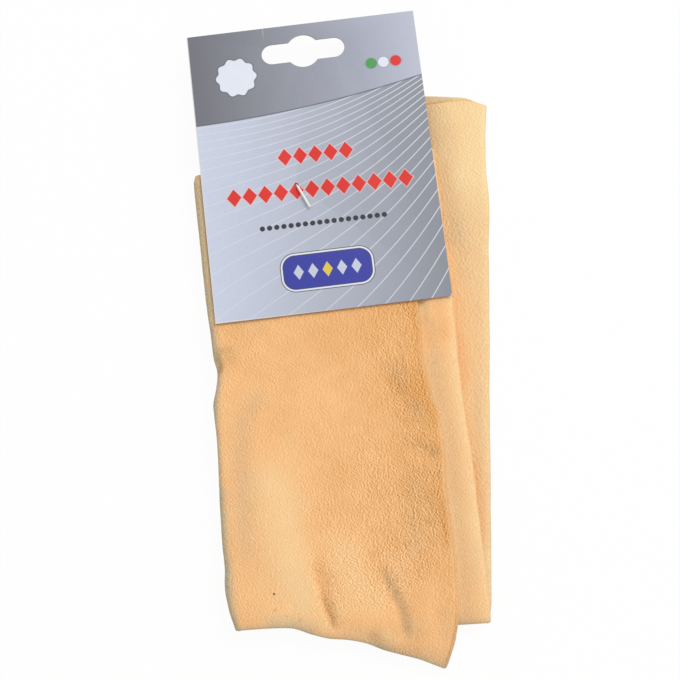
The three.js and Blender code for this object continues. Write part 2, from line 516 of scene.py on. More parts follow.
@dataclass(frozen=True)
class ChamoisFinish:
    """Oil-tanned suede: mottled, pebbled where the nap is worn, with painted shade in hollows and at sides.

    It reads what the skin stores on its points: tone (from deep to pale, with painted highlights and some
    painted light and shade), painted shade with some greying of the worn leather, painted shade in creases,
    nap and coarseness of the grain, wear, and cut edges.
    """

    # Colour
    deep: str = "e6a764"
    middle: str = "fac287"
    pale: str = "fcdba5"
    knee: float = 0.4
    cloud: Mottle = Mottle(14.0, 3.0, 0.3)
    mottle: Mottle = Mottle(4.2, 3.0, 0.2)
    # Colour of the painted shade, also used for the greying of worn leather; the side step paints shade on
    # surfaces that face sideways
    shade: str = "b8ab8e"
    side_limits: tuple[float, float] = (0.8, 0.2)
    side_shade: float = 0.4
    # Painted shade in creases and dents, and the darker lines of the fine wrinkles
    crease_shade: str = "967a50"
    cut_edge: str = "fcd39b"
    cut_share: float = 0.42

    # Grain, fibres and the fine wrinkles of worn leather
    grain_size: float = 0.3
    grain_slant: float = math.radians(5)
    grain_stretch: float = 2.3
    grain_pitch: float = 0.58
    grain_sides: float = 0.36
    coarsening: float = 0.22
    grain_plain: float = 0.26
    grain_by_nap: float = 0.5
    nap_lost_at_cut: float = 0.8
    grain_weights: tuple[float, float, float] = (0.97, 0.9, 0.61)
    grain_height: float = 0.25
    fibre_size: float = 0.3
    fibre_detail: float = 1.0
    fibre_share: float = 0.06
    wrinkle_size: float = 0.5
    wrinkle_slant: float = math.radians(17)
    wrinkle_stretch: float = 9.0
    wrinkle_limits: tuple[float, float] = (0.56, 0.72)
    wrinkle_share: float = 0.22
    worn_limits: tuple[float, float] = (0.5, 0.95)

    # Marks on the front, which lies above some height
    front_limits: tuple[float, float] = (8.0, 8.5)
    blemish_core: float = 0.4
    blemishes: tuple[Blemish, ...] = (
        Blemish((-24.6, -150.5), 0.56, "5d452f", 0.95),
        Blemish((-24.8, -156.1), 0.9, "d98f6a", 0.35),
        Blemish((-21.0, -158.6), 0.7, "d98f6a", 0.3),
        Blemish((-16.5, -160.6), 0.9, "d98f6a", 0.35),
    )

    # Gloss
    roughness: float = 0.86
    fibre_roughness: float = 0.12
    sheen: float = 0.08
    sheen_roughness: float = 0.6
    specular: float = 0.15

    def tinted(self, place: Wire) -> Wire:
        """Colours the leather by its stored tone, its painted crease shade, and its painted shade and
        greying.

        Args:
            place: The skin's coordinates.

        Returns:
            Its slow changes of colour.
        """
        bench = place.bench
        tone = bench.attribute("tone") + self.cloud.over(place) + self.mottle.over(place)
        body = bench.mix(tone / self.knee, self.deep, self.middle)
        body = bench.mix((tone - self.knee) / (1 - self.knee), body, self.pale)
        along = self.drawn_out(place, self.wrinkle_slant, self.wrinkle_stretch)
        lines = bench.step(bench.noise(along, self.wrinkle_size), *self.wrinkle_limits)
        worn = bench.step(bench.attribute("worn"), *self.worn_limits)
        # Painted shade in the creases, with the darker lines of the fine wrinkles where the leather is worn
        body = bench.mix(bench.attribute("crease_shade") + lines * worn * self.wrinkle_share, body, self.crease_shade)
        # Painted shade: greys the rims, the hollows, the strip beside the card and the leather beside the
        # folds; a little of it is greying of the worn leather
        return bench.mix(bench.attribute("shade_and_greying"), body, self.shade)

    def drawn_out(self, place: Wire, slant: float, stretch: float) -> Wire:
        """Coordinates drawn out along a direction at some angle from the skin's length."""
        turned = {"Vector": place, "Rotation": (0, 0, slant), "Scale": (1, stretch, 1)}
        return place.bench.add("ShaderNodeMapping", {"vector_type": "TEXTURE"}, turned)

    def grain(self, place: Wire) -> Wire:
        """Makes fine streaks, each with its opposite on both sides, so that they make no blotches.

        Args:
            place: The skin's coordinates.

        Returns:
            The streaks, about 0.
        """
        bench = place.bench
        sized = bench.scale(place, 1 - self.coarsening * bench.attribute("coarse"))
        middle = self.drawn_out(sized, self.grain_slant, self.grain_stretch)
        beside = [
            bench.add("ShaderNodeVectorMath", {"operation": "ADD"}, {0: middle, 1: (shift * MM, 0, 0)})
            for shift in (-self.grain_pitch, self.grain_pitch)
        ]
        own, left, right = (bench.noise(at, self.grain_size) for at in (middle, *beside))
        return own - 0.5 - self.grain_sides * (left + right - 1.0)

    def marked(self, place: Wire, body: Wire) -> Wire:
        """Adds the blemishes to the front of the skin.

        Args:
            place: The skin's coordinates.
            body: Its colour so far.

        Returns:
            The colour with its marks.
        """
        bench = place.bench
        x, y, z = bench.axes(place, PIN_AXIS)
        front = bench.step(z, *self.front_limits)
        for mark in self.blemishes:
            away = ((x - mark.middle[0]) ** 2.0 + (y - mark.middle[1]) ** 2.0) ** 0.5
            spot = bench.step(away, mark.radius, self.blemish_core * mark.radius)
            body = bench.mix(spot * front * mark.strength, body, mark.colour)
        return body

    def build(self) -> bpy.types.Material:
        """Makes the material.

        Returns:
            The suede.
        """
        bench, material = Bench.for_material("chamois_suede")
        place = bench.place()
        cut = bench.attribute("cut")
        nap = bench.attribute("nap") * (1 - self.nap_lost_at_cut * cut)
        fibre = bench.noise(place, self.fibre_size, self.fibre_detail)
        strength = self.grain_plain + self.grain_by_nap * nap
        pebble = self.grain(place) * strength + (fibre - 0.5) * self.fibre_share
        body = bench.add(
            "ShaderNodeVectorMath",
            {"operation": "MULTIPLY_ADD"},
            {0: pebble, 1: self.grain_weights, 2: self.tinted(place)},
        )
        # Painted shade on surfaces that face sideways, by the height of their normal
        upright = bench.add("ShaderNodeNewGeometry", {}, {}, "Normal")
        upright = bench.add("ShaderNodeSeparateXYZ", {}, {"Vector": upright}, "Z")
        body = bench.mix(bench.step(abs(upright), *self.side_limits) * self.side_shade, body, self.shade)
        body = bench.mix(cut * self.cut_share, body, self.cut_edge)
        bench.surface(
            {
                "Base Color": self.marked(place, body),
                "Roughness": self.roughness + self.fibre_roughness * fibre,
                "Normal": bench.bump(0.5 + pebble, self.grain_height),
                "Sheen Weight": self.sheen,
                "Sheen Roughness": self.sheen_roughness,
                "Specular IOR Level": self.specular,
            }
        )
        return material


@dataclass(frozen=True)
class Spot:
    """A flat printed shape with round corners: its middle, half sizes and corner radius on the card."""

    middle: tuple[float, float]
    half: tuple[float, float]
    corner: float

    def away(self, x: Wire, y: Wire) -> Wire:
        """Measures from the shape.

        Args:
            x: The place across the card.
            y: The place up the card.

        Returns:
            The distance outside it, which falls below 0 inside its round corners.
        """
        across = [
            (abs(part - middle) - (half - self.corner)) | 0.0
            for part, middle, half in zip((x, y), self.middle, self.half)
        ]
        return (across[0] ** 2.0 + across[1] ** 2.0) ** 0.5 - self.corner


@dataclass(frozen=True)
class PrintRow:
    """A row of like shapes: its middle, their number and pitch, and half of one's width and height."""

    middle: tuple[float, float]
    count: int
    pitch: float
    half: tuple[float, float]
    motif: Motif

    def away(self, x: Wire, y: Wire) -> Wire:
        """Measures from the nearest shape of the row.

        Args:
            x: The place across the card.
            y: The place up the card.

        Returns:
            The distance outside it, which falls below 0 inside.
        """
        bench = x.bench
        along, up = x - self.middle[0], abs(y - self.middle[1])
        beside = abs(bench.math("FRACT", along / self.pitch + self.count / 2) - 0.5) * self.pitch
        wide, high = self.half
        if self.motif is Motif.LOZENGE:
            shape = (beside / wide + up / high - 1) * (wide * high / math.hypot(wide, high))
        else:
            shape = (beside**2.0 + up**2.0) ** 0.5 - wide
        return shape | (abs(along) - self.count * self.pitch / 2)


@dataclass(frozen=True)
class Seal:
    """A printed round mark with a scalloped edge."""

    middle: tuple[float, float]
    radius: float
    lobes: int
    lobe_height: float

    def away(self, x: Wire, y: Wire) -> Wire:
        """Measures from the mark.

        Args:
            x: The place across the card.
            y: The place up the card.

        Returns:
            The distance outside it, which falls below 0 inside.
        """
        bench = x.bench
        along, up = x - self.middle[0], y - self.middle[1]
        wave = bench.math("COSINE", bench.math("ARCTAN2", up, along) * self.lobes)
        return (along**2.0 + up**2.0) ** 0.5 - (self.radius + self.lobe_height * wave)


@dataclass(frozen=True)
class Pinstripes:
    """Fine stripes that run level and close together at the top left, and steeper and wider apart below.

    A count rises smoothly over the card, and the stripes are where it is a whole number.
    """

    top: float = 49.6
    first_drop: float = 30.0
    rate: float = 10.456
    bulge: float = 0.172
    bulge_middle: float = -5.0
    bulge_half: float = 47.0
    lean: float = 7.95
    lean_power: float = 2.45
    lean_from: float = -44.0
    lean_run: float = 84.0

    def away(self, x: Wire, y: Wire) -> Wire:
        """Measures from the nearest stripe.

        Args:
            x: The place across the card.
            y: The place up the card.

        Returns:
            The count's distance from a whole number, over its slope.
        """
        bench = x.bench
        drop = self.top - y
        level = self.rate * bench.math("LOGARITHM", drop / self.first_drop, math.e)
        aside = (x - self.bulge_middle) / self.bulge_half
        swell = 1 + self.bulge * (1 - aside**2.0)
        along = ((x - self.lean_from) | 0.0) / self.lean_run
        count = level * swell + self.lean * (along**self.lean_power - 1)
        off = 0.5 - abs(bench.math("FRACT", count) - 0.5)
        lean_slope = self.lean * self.lean_power / self.lean_run * along ** (self.lean_power - 1)
        across = lean_slope - (2 * self.bulge / self.bulge_half) * aside * level
        down = self.rate * swell / drop
        return off / (across**2.0 + down**2.0) ** 0.5


@dataclass(frozen=True)
class Halo:
    """A soft edge round a printed shape: its reach, where it is full, and its strength there."""

    reach: float
    full: float
    share: float

    def over(self, away: Wire, face: Wire, colour: str) -> Wire:
        """Prints the halo, given the distance outside its shape."""
        strength = away.bench.step(away, self.reach, self.full) * self.share
        return away.bench.mix(strength, face, colour)


@dataclass(frozen=True)
class CardFinish:
    """Coated board printed in silver greys with fine stripes, rows of lozenges and a blue badge."""

    middle: tuple[float, float, float]
    half: tuple[float, float]
    front: float

    # Inks and board
    header_dark: str = "77787f"
    header_light: str = "bbbfcf"
    field_light: str = "d0d7e8"
    field_dark: str = "8d9099"
    divider: str = "55565e"
    stripe: str = "f2f4fa"
    red: str = "de3a33"
    red_halo: str = "f0c4c2"
    ink: str = "3a3b42"
    blue: str = "3e44a2"
    rim_dark: str = "4b4c55"
    white: str = "e4e8f3"
    silver: str = "c9cede"
    gold: str = "e2c64c"
    green: str = "55a05a"
    board: str = "e9e3e2"
    # Colour of the card's edges and back: the board, darkened as painted shade along the edges
    board_side_and_shade: str = "aca69d"
    print_depth: tuple[float, float] = (0.12, 0.08)

    # Ground: the header's fade, the bowed line below it, and the stripes, which get stronger to the right
    header_power: float = 1.2
    join_edge: float = 0.12
    divider_knots: tuple[float, float, float] = (23.1, 0.1084, 0.001152)
    divider_from: float = -3.7
    divider_limits: tuple[float, float] = (0.4, 0.12)
    divider_share: float = 0.7
    stripes: Pinstripes = Pinstripes()
    stripe_limits: tuple[float, float] = (0.255, 0.085)
    stripe_left: float = 0.2
    stripe_gain: float = 0.5

    # Ornament
    ink_edge: float = 0.1
    titles: tuple[PrintRow, ...] = (
        PrintRow((0.0, 4.0), 5, 5.8, (2.7, 3.4), Motif.LOZENGE),
        PrintRow((0.2, -9.8), 12, 5.9, (2.75, 3.5), Motif.LOZENGE),
    )
    title_halo: Halo = Halo(0.6, 0.1, 0.6)
    dotted_line: PrintRow = PrintRow((0.0, -23.2), 18, 2.7, (1.0, 1.0), Motif.DISC)
    badge: Spot = Spot((-0.5, -41.6), (16.2, 6.2), 4.2)
    badge_rings: tuple[float, ...] = (1.5, 1.2, 0.55, 0.2)
    ring_edge: float = 0.16
    badge_row: PrintRow = PrintRow((-0.5, -41.6), 5, 5.4, (1.9, 2.9), Motif.LOZENGE)
    badge_jewel: PrintRow = PrintRow((-0.5, -41.6), 1, 5.4, (1.9, 2.9), Motif.LOZENGE)
    seal: Seal = Seal((-26.6, 38.6), 7.4, 10, 0.45)
    seal_halo: Halo = Halo(0.9, 0.0, 0.4)
    discs: tuple[PrintRow, ...] = tuple(
        PrintRow((25.4 + 4.7 * k, 37.8), 1, 5.0, (2.1, 2.1), Motif.DISC) for k in range(3)
    )
    disc_halo: Halo = Halo(0.5, 0.0, 0.35)

    # Wear: uneven print, a scuff down from the top edge, and bare board at two rims
    print_detail: float = 2.0
    speckle_size: float = 0.8
    speckle_share: float = 0.1
    drift_size: float = 26.0
    drift_share: float = 0.06
    scuff_x: float = -14.5
    scuff_from: float = 51.0
    scuff_short: float = 1.0
    scuff_sway: float = 0.4
    scuff_limits: tuple[float, float] = (0.3, 0.05)
    scuff_share: float = 0.3
    bare_rim: float = 0.4
    bare_full: float = 0.2
    bare_shift: float = 0.5
    bare_share: float = 0.8

    # Gloss
    roughness: float = 0.48
    drift_roughness: float = 0.12
    speckle_roughness: float = 0.1
    tooth_size: float = 0.35
    tooth_height: float = 0.006
    specular: float = 0.25

    def ground(self, x: Wire, y: Wire) -> Wire:
        """Prints the header, the field with its stripes, and the line between them.

        Args:
            x: The place across the card.
            y: The place up the card.

        Returns:
            The printed colour.
        """
        bench = x.bench
        level, rise, bow = self.divider_knots
        along = x - self.divider_from
        above = y - (level + rise * along + bow * along**2.0)
        tilt = x / (2 * self.half[0]) + 0.5
        header = bench.mix(tilt**self.header_power, self.header_dark, self.header_light)
        field = bench.mix(tilt, self.field_light, self.field_dark)
        stripe = bench.step(self.stripes.away(x, y), *self.stripe_limits)
        field = bench.mix(stripe * (self.stripe_left + self.stripe_gain * tilt), field, self.stripe)
        face = bench.mix(bench.step(above, -self.join_edge, self.join_edge), field, header)
        line = bench.step(abs(above), *self.divider_limits) * self.divider_share
        return bench.mix(line, face, self.divider)

    def inked(self, away: Wire, face: Wire, colour: str) -> Wire:
        """Prints a crisp shape, given the distance outside it."""
        return away.bench.mix(away.bench.step(away, self.ink_edge, -self.ink_edge), face, colour)

    def ornament(self, x: Wire, y: Wire, face: Wire) -> Wire:
        """Prints the lozenges, the dotted line, the badge, the seal and the discs over the ground.

        Args:
            x: The place across the card.
            y: The place up the card.
            face: The ground's colour.

        Returns:
            The printed colour.
        """
        for row in self.titles:
            away = row.away(x, y)
            face = self.title_halo.over(away, face, self.red_halo)
            face = self.inked(away, face, self.red)
        face = self.inked(self.dotted_line.away(x, y), face, self.ink)
        bench, badge = x.bench, self.badge.away(x, y)
        for reach, colour in zip(self.badge_rings, (self.rim_dark, self.white, self.rim_dark, self.blue)):
            face = bench.mix(bench.step(badge, reach, reach - self.ring_edge), face, colour)
        face = self.inked(self.badge_row.away(x, y), face, self.silver)
        face = self.inked(self.badge_jewel.away(x, y), face, self.gold)
        seal = self.seal.away(x, y)
        face = self.seal_halo.over(seal, face, self.rim_dark)
        face = self.inked(seal, face, self.white)
        for disc, colour in zip(self.discs, (self.green, self.white, self.red)):
            away = disc.away(x, y)
            face = self.disc_halo.over(away, face, self.rim_dark)
            face = self.inked(away, face, colour)
        return face

    def scuffed(self, x: Wire, y: Wire, drift: Wire) -> Wire:
        """Scuffs the print in a fine line down from the top edge.

        Args:
            x: The place across the card.
            y: The place up the card.
            drift: A slow noise that bends the line.

        Returns:
            Strength of the scuff.
        """
        bench = x.bench
        beside = abs(x - self.scuff_x - self.scuff_sway * drift)
        upper = bench.step(y, self.scuff_from, self.half[1] - self.scuff_short)
        return bench.step(beside, *self.scuff_limits) * upper * self.scuff_share

    def bared(self, x: Wire, y: Wire) -> Wire:
        """Bares the board along the left rim and, less and less to the right, along the bottom one.

        Args:
            x: The place across the card.
            y: The place up the card.

        Returns:
            Strength of the bare board.
        """
        bench = x.bench
        above = y + self.half[1] + self.bare_rim * (self.bare_shift + x / self.half[0])
        inside = bench.math("MINIMUM", x + self.half[0], above)
        return bench.step(inside, self.bare_rim, self.bare_full) * self.bare_share

    def build(self) -> bpy.types.Material:
        """Makes the material in the card's own millimetres.

        Returns:
            The printed board.
        """
        bench, material = Bench.for_material("coated_board")
        place = bench.place()
        x, y, z = bench.axes(place, self.middle)
        speckle = bench.noise(place, self.speckle_size, self.print_detail) - 0.5
        drift = bench.noise(place, self.drift_size, self.print_detail) - 0.5
        tooth = bench.noise(place, self.tooth_size, self.print_detail)
        face = self.ornament(x, y, self.ground(x, y))
        face = bench.mix(self.scuffed(x, y, drift), face, self.white)
        face = bench.scale(face, 1 + self.speckle_share * speckle + self.drift_share * drift)
        face = bench.mix(self.bared(x, y), face, self.board)
        # Below the print, the darker board colour, partly painted shade along the card's edges
        upper = bench.step(z, *(self.front - depth for depth in self.print_depth))
        bench.surface(
            {
                "Base Color": bench.mix(upper, self.board_side_and_shade, face),
                "Roughness": self.roughness + self.drift_roughness * drift + self.speckle_roughness * speckle,
                "Normal": bench.bump(tooth, self.tooth_height),
                "Specular IOR Level": self.specular,
            }
        )
        return material


@dataclass(frozen=True)
class PinFinish:
    """Moulded white plastic, faintly cloudy."""

    light: str = "f6f5f1"
    shade: str = "e6e4dd"
    detail: float = 2.0
    cloud_size: float = 1.4
    pit_size: float = 0.5
    pit_depth: float = 0.01
    roughness: float = 0.34
    cloud_roughness: float = 0.14
    subsurface: float = 0.05

    def build(self) -> bpy.types.Material:
        """Makes the material.

        Returns:
            The plastic.
        """
        bench, material = Bench.for_material("pin_moulding")
        place = bench.place()
        cloud = bench.noise(place, self.cloud_size, self.detail)
        pits = bench.noise(place, self.pit_size, self.detail)
        bench.surface(
            {
                "Base Color": bench.mix(cloud, self.shade, self.light),
                "Roughness": self.roughness + self.cloud_roughness * cloud,
                "Normal": bench.bump(pits, self.pit_depth),
                "Subsurface Weight": self.subsurface,
            }
        )
        return material


# Pieces


@dataclass(frozen=True)
class Station:
    """One section across the skin: its panel, its share of the way over it, its turn round the next fold."""

    panel: int
    share: float
    turn: float = 0.0


@dataclass
class FoldedSkin:
    """The leather: folded in half along its bottom edge, then pleated into panels, front to back.

    Each edge runs from its top end to its bottom end as (height, sideways place). A panel lies between two
    edges, and its raw top and folded bottom pass through (sideways place, height) knots on the way. Values
    across the skin count panels from the front: 1.5 is the middle of the second one.
    """

    # Leather, and the gaps in its stack
    ply: float = 0.7
    ply_gap: float = 0.3
    panel_gap: float = 0.35

    # Outline
    front_raw: Knots = (
        (9.5, 40.4), (-50.5, 39.5), (-72.2, 38.6), (-82.0, 39.5), (-87.7, 40.3), (-93.2, 41.6),
        (-101.0, 41.8), (-121.0, 40.6), (-142.5, 40.2), (-167.7, 37.6), (-176.1, 34.8), (-183.0, 31.4),
    )
    left_fold: Knots = (
        (9.1, -37.9), (5.9, -38.7), (-35.6, -38.6), (-53.1, -38.0), (-61.6, -37.9), (-67.4, -37.0),
        (-73.3, -37.9), (-80.6, -39.7), (-92.6, -39.5), (-107.3, -40.3), (-131.0, -41.3), (-137.1, -41.15),
        (-140.3, -41.3), (-143.5, -41.7), (-146.8, -41.9), (-152.9, -41.4), (-161.6, -39.7),
    )
    inner_right: Knots = (
        (9.7, 53.5), (-49.2, 52.8), (-62.0, 52.4), (-73.2, 51.8), (-95.8, 51.5), (-110.8, 51.9),
        (-124.0, 51.5), (-147.0, 51.2), (-158.0, 51.2), (-169.3, 50.5),
    )
    inner_left: Knots = ((30.5, -32.6), (-160.5, -38.1))
    outer_right: Knots = (
        (25.3, 76.1), (12.6, 73.9), (0.5, 72.4), (-11.6, 71.9), (-32.0, 68.9), (-50.7, 66.6), (-88.5, 61.4),
        (-125.3, 56.7), (-150.0, 53.4), (-162.7, 51.7), (-168.3, 50.0),
    )
    back_raw: Knots = ((43.5, -29.6), (-160.5, -35.6))
    top_knots: Sequence[Knots] = (
        (),
        (),
        (),
        ((55.4, 28.8), (60.5, 29.2), (66.3, 29.0), (72.0, 27.6)),
        ((74.0, 26.8), (71.5, 28.6), (68.4, 30.2), (62.9, 31.4), (55.2, 32.7)),
    )
    bottom_knots: Sequence[Knots] = (
        (
            (28.7, -181.6), (23.8, -179.0), (17.1, -176.4), (12.0, -174.4), (5.4, -171.1), (-1.5, -169.1),
            (-6.7, -168.2), (-12.9, -166.0), (-20.3, -162.9), (-30.2, -162.0),
        ),
        ((0.0, -161.0), (38.6, -168.6)),
        ((0.0, -161.0), (38.6, -167.9)),
        ((0.0, -161.5), (38.6, -167.7)),
        ((38.6, -167.5), (0.0, -161.0)),
    )
    outline_tries: int = 12

    # Small irregularities of the folds, of the raw edges, and of the raw tops of both plies
    edge_seed: int = 40
    fold_wander: float = 0.08
    fold_wave_length: float = 41.0
    raw_wander: float = 0.14
    raw_wave_length: float = 23.0
    top_run: float = 80.0
    front_top_wave: Wave = Wave(7, 19.0)
    back_top_wave: Wave = Wave(8, 26.0)
    back_top_wander: float = 0.168
    back_top_drop: float = 0.5
    back_ply_slip: Knots = ((-125.0, 0.25), (-168.0, 1.3))
    slip_fade: int = 8

    # Mesh: columns up to each share of a panel, and rows, with extra ones (lips) close to the raw edges
    column_runs: Sequence[Knots] = (
        ((1.0, 103),),
        ((0.84, 9), (1.0, 14)),
        ((1.0, 9),),
        ((0.78, 11), (1.0, 19)),
        ((0.22, 9), (1.0, 9)),
    )
    bend_columns: int = 7
    rows: int = 108
    row_crowding: float = 0.85
    bend_rows: int = 5
    lips: tuple[float, ...] = (0.3, 1.6, 2.4, 3.2)
    sharp_above: float = 55.0

    # How the stack lies: settled, rolled at its bottom, tucked round the pin, drooping at its free corner
    settle: float = -0.45
    bottom_roll: float = 1.3
    roll_reach: float = 3.2
    ripple: float = 0.1
    ripple_waves: tuple[Wave, Wave] = (Wave(3, 31.0), Wave(4, 47.0))
    ripple_slants: tuple[float, float] = (0.6, -0.4)
    tuck_depth: float = 1.2
    tuck_reach: float = 7.0
    tuck_run_out: float = 18.0
    droop: float = 3.4
    droop_from: float = -163.0
    droop_run: float = 20.0
    droop_power: float = 1.6
    relief: Sequence[Stroke] = (
        # Whole stack, along its left fold
        Stroke(((-37.5, -68), (-34.0, -62.5)), 3.6, -0.8),
        Stroke(((-36.0, -60.5), (-28.0, -61.5)), 1.5, -0.3),
        # Whole stack, middle
        Stroke(
            ((-6, -58), (-19, -75), (-23, -90), (-25, -105), (-25, -125), (-20, -140)),
            8.0, 1.0, lead=0.6,
        ),
        # Whole stack, worn right side
        Stroke(((38.0, -96), (39.0, -100)), 7.0, 0.5),
        Stroke(((24.0, -80), (33.0, -91)), 2.2, -0.3),
        Stroke(((27.0, -100), (36.0, -110)), 2.2, -0.3),
        Stroke(((26.0, -118), (38.0, -127)), 2.2, -0.3),
        # Whole stack, creases and free corner
        Stroke(
            ((-9.2, -136), (-8.4, -149.5), (-7.6, -155), (-6.0, -160.5), (-5.5, -163.5)),
            1.9, -1.2, lean=0.4, lead=0.8,
        ),
        Stroke(((-13.5, -142), (-12.0, -152), (-10.0, -161)), 4.0, 0.35),
        Stroke(((-2.0, -142), (1.0, -152), (3.0, -160)), 5.0, 0.5),
        Stroke(
            ((13.2, -144), (15.4, -150), (17.9, -157.7), (19.5, -164), (19.8, -169)),
            2.2, -1.2, lean=0.2, lead=0.6,
        ),
        Stroke(((23.0, -147), (26.5, -158), (27.5, -168)), 4.5, 0.45),
        Stroke(((10.2, -174), (8.6, -169.5)), 3.2, -0.8),
        Stroke(((-20.5, -162), (-18.5, -156)), 2.4, -0.4),
        # Second panel and its return
        Stroke(((45.8, -10), (45.3, -60), (46.2, -100), (45.8, -120), (44.8, -165)), 3.5, 0.95, 1),
        Stroke(((50.6, -10), (50.0, -60), (49.8, -90), (50.2, -120), (49.4, -160)), 3.5, 0.85, 1),
        Stroke(((50.6, -10), (50.0, -60), (49.8, -90), (50.2, -120), (49.4, -160)), 3.5, 0.85, 2),
        Stroke(((49.9, -96), (50.1, -54), (50.5, -30)), 3.2, 1.3, 1, lead=0.65),
        Stroke(((46.0, -96), (45.3, -54), (45.5, -36)), 3.4, 1.3, 1, lead=0.7),
        Stroke(((42.9, -36), (42.6, -56)), 1.8, 0.9, 1),
    )

    # Wrinkles where the front panel is worn: they sway on their way, and break off here and there
    wrinkle_height: float = 0.13
    wrinkle_slant: float = math.radians(-45)
    wrinkle_wave: Wave = Wave(12, 8.0, 3)
    sway: float = 1.6
    sway_wave: Wave = Wave(11, 17.0)
    breaks: float = 0.4
    break_wave: Wave = Wave(13, 11.0, 3)
    break_slant: float = 0.7
    worn: Sequence[Stroke] = (
        Stroke(((30, -66), (31, -92), (36, -110), (34, -126), (20, -148)), 11.0, 1.0, 0),
        Stroke(((-4, -146), (-4, -160)), 5.0, 0.8, 0),
    )

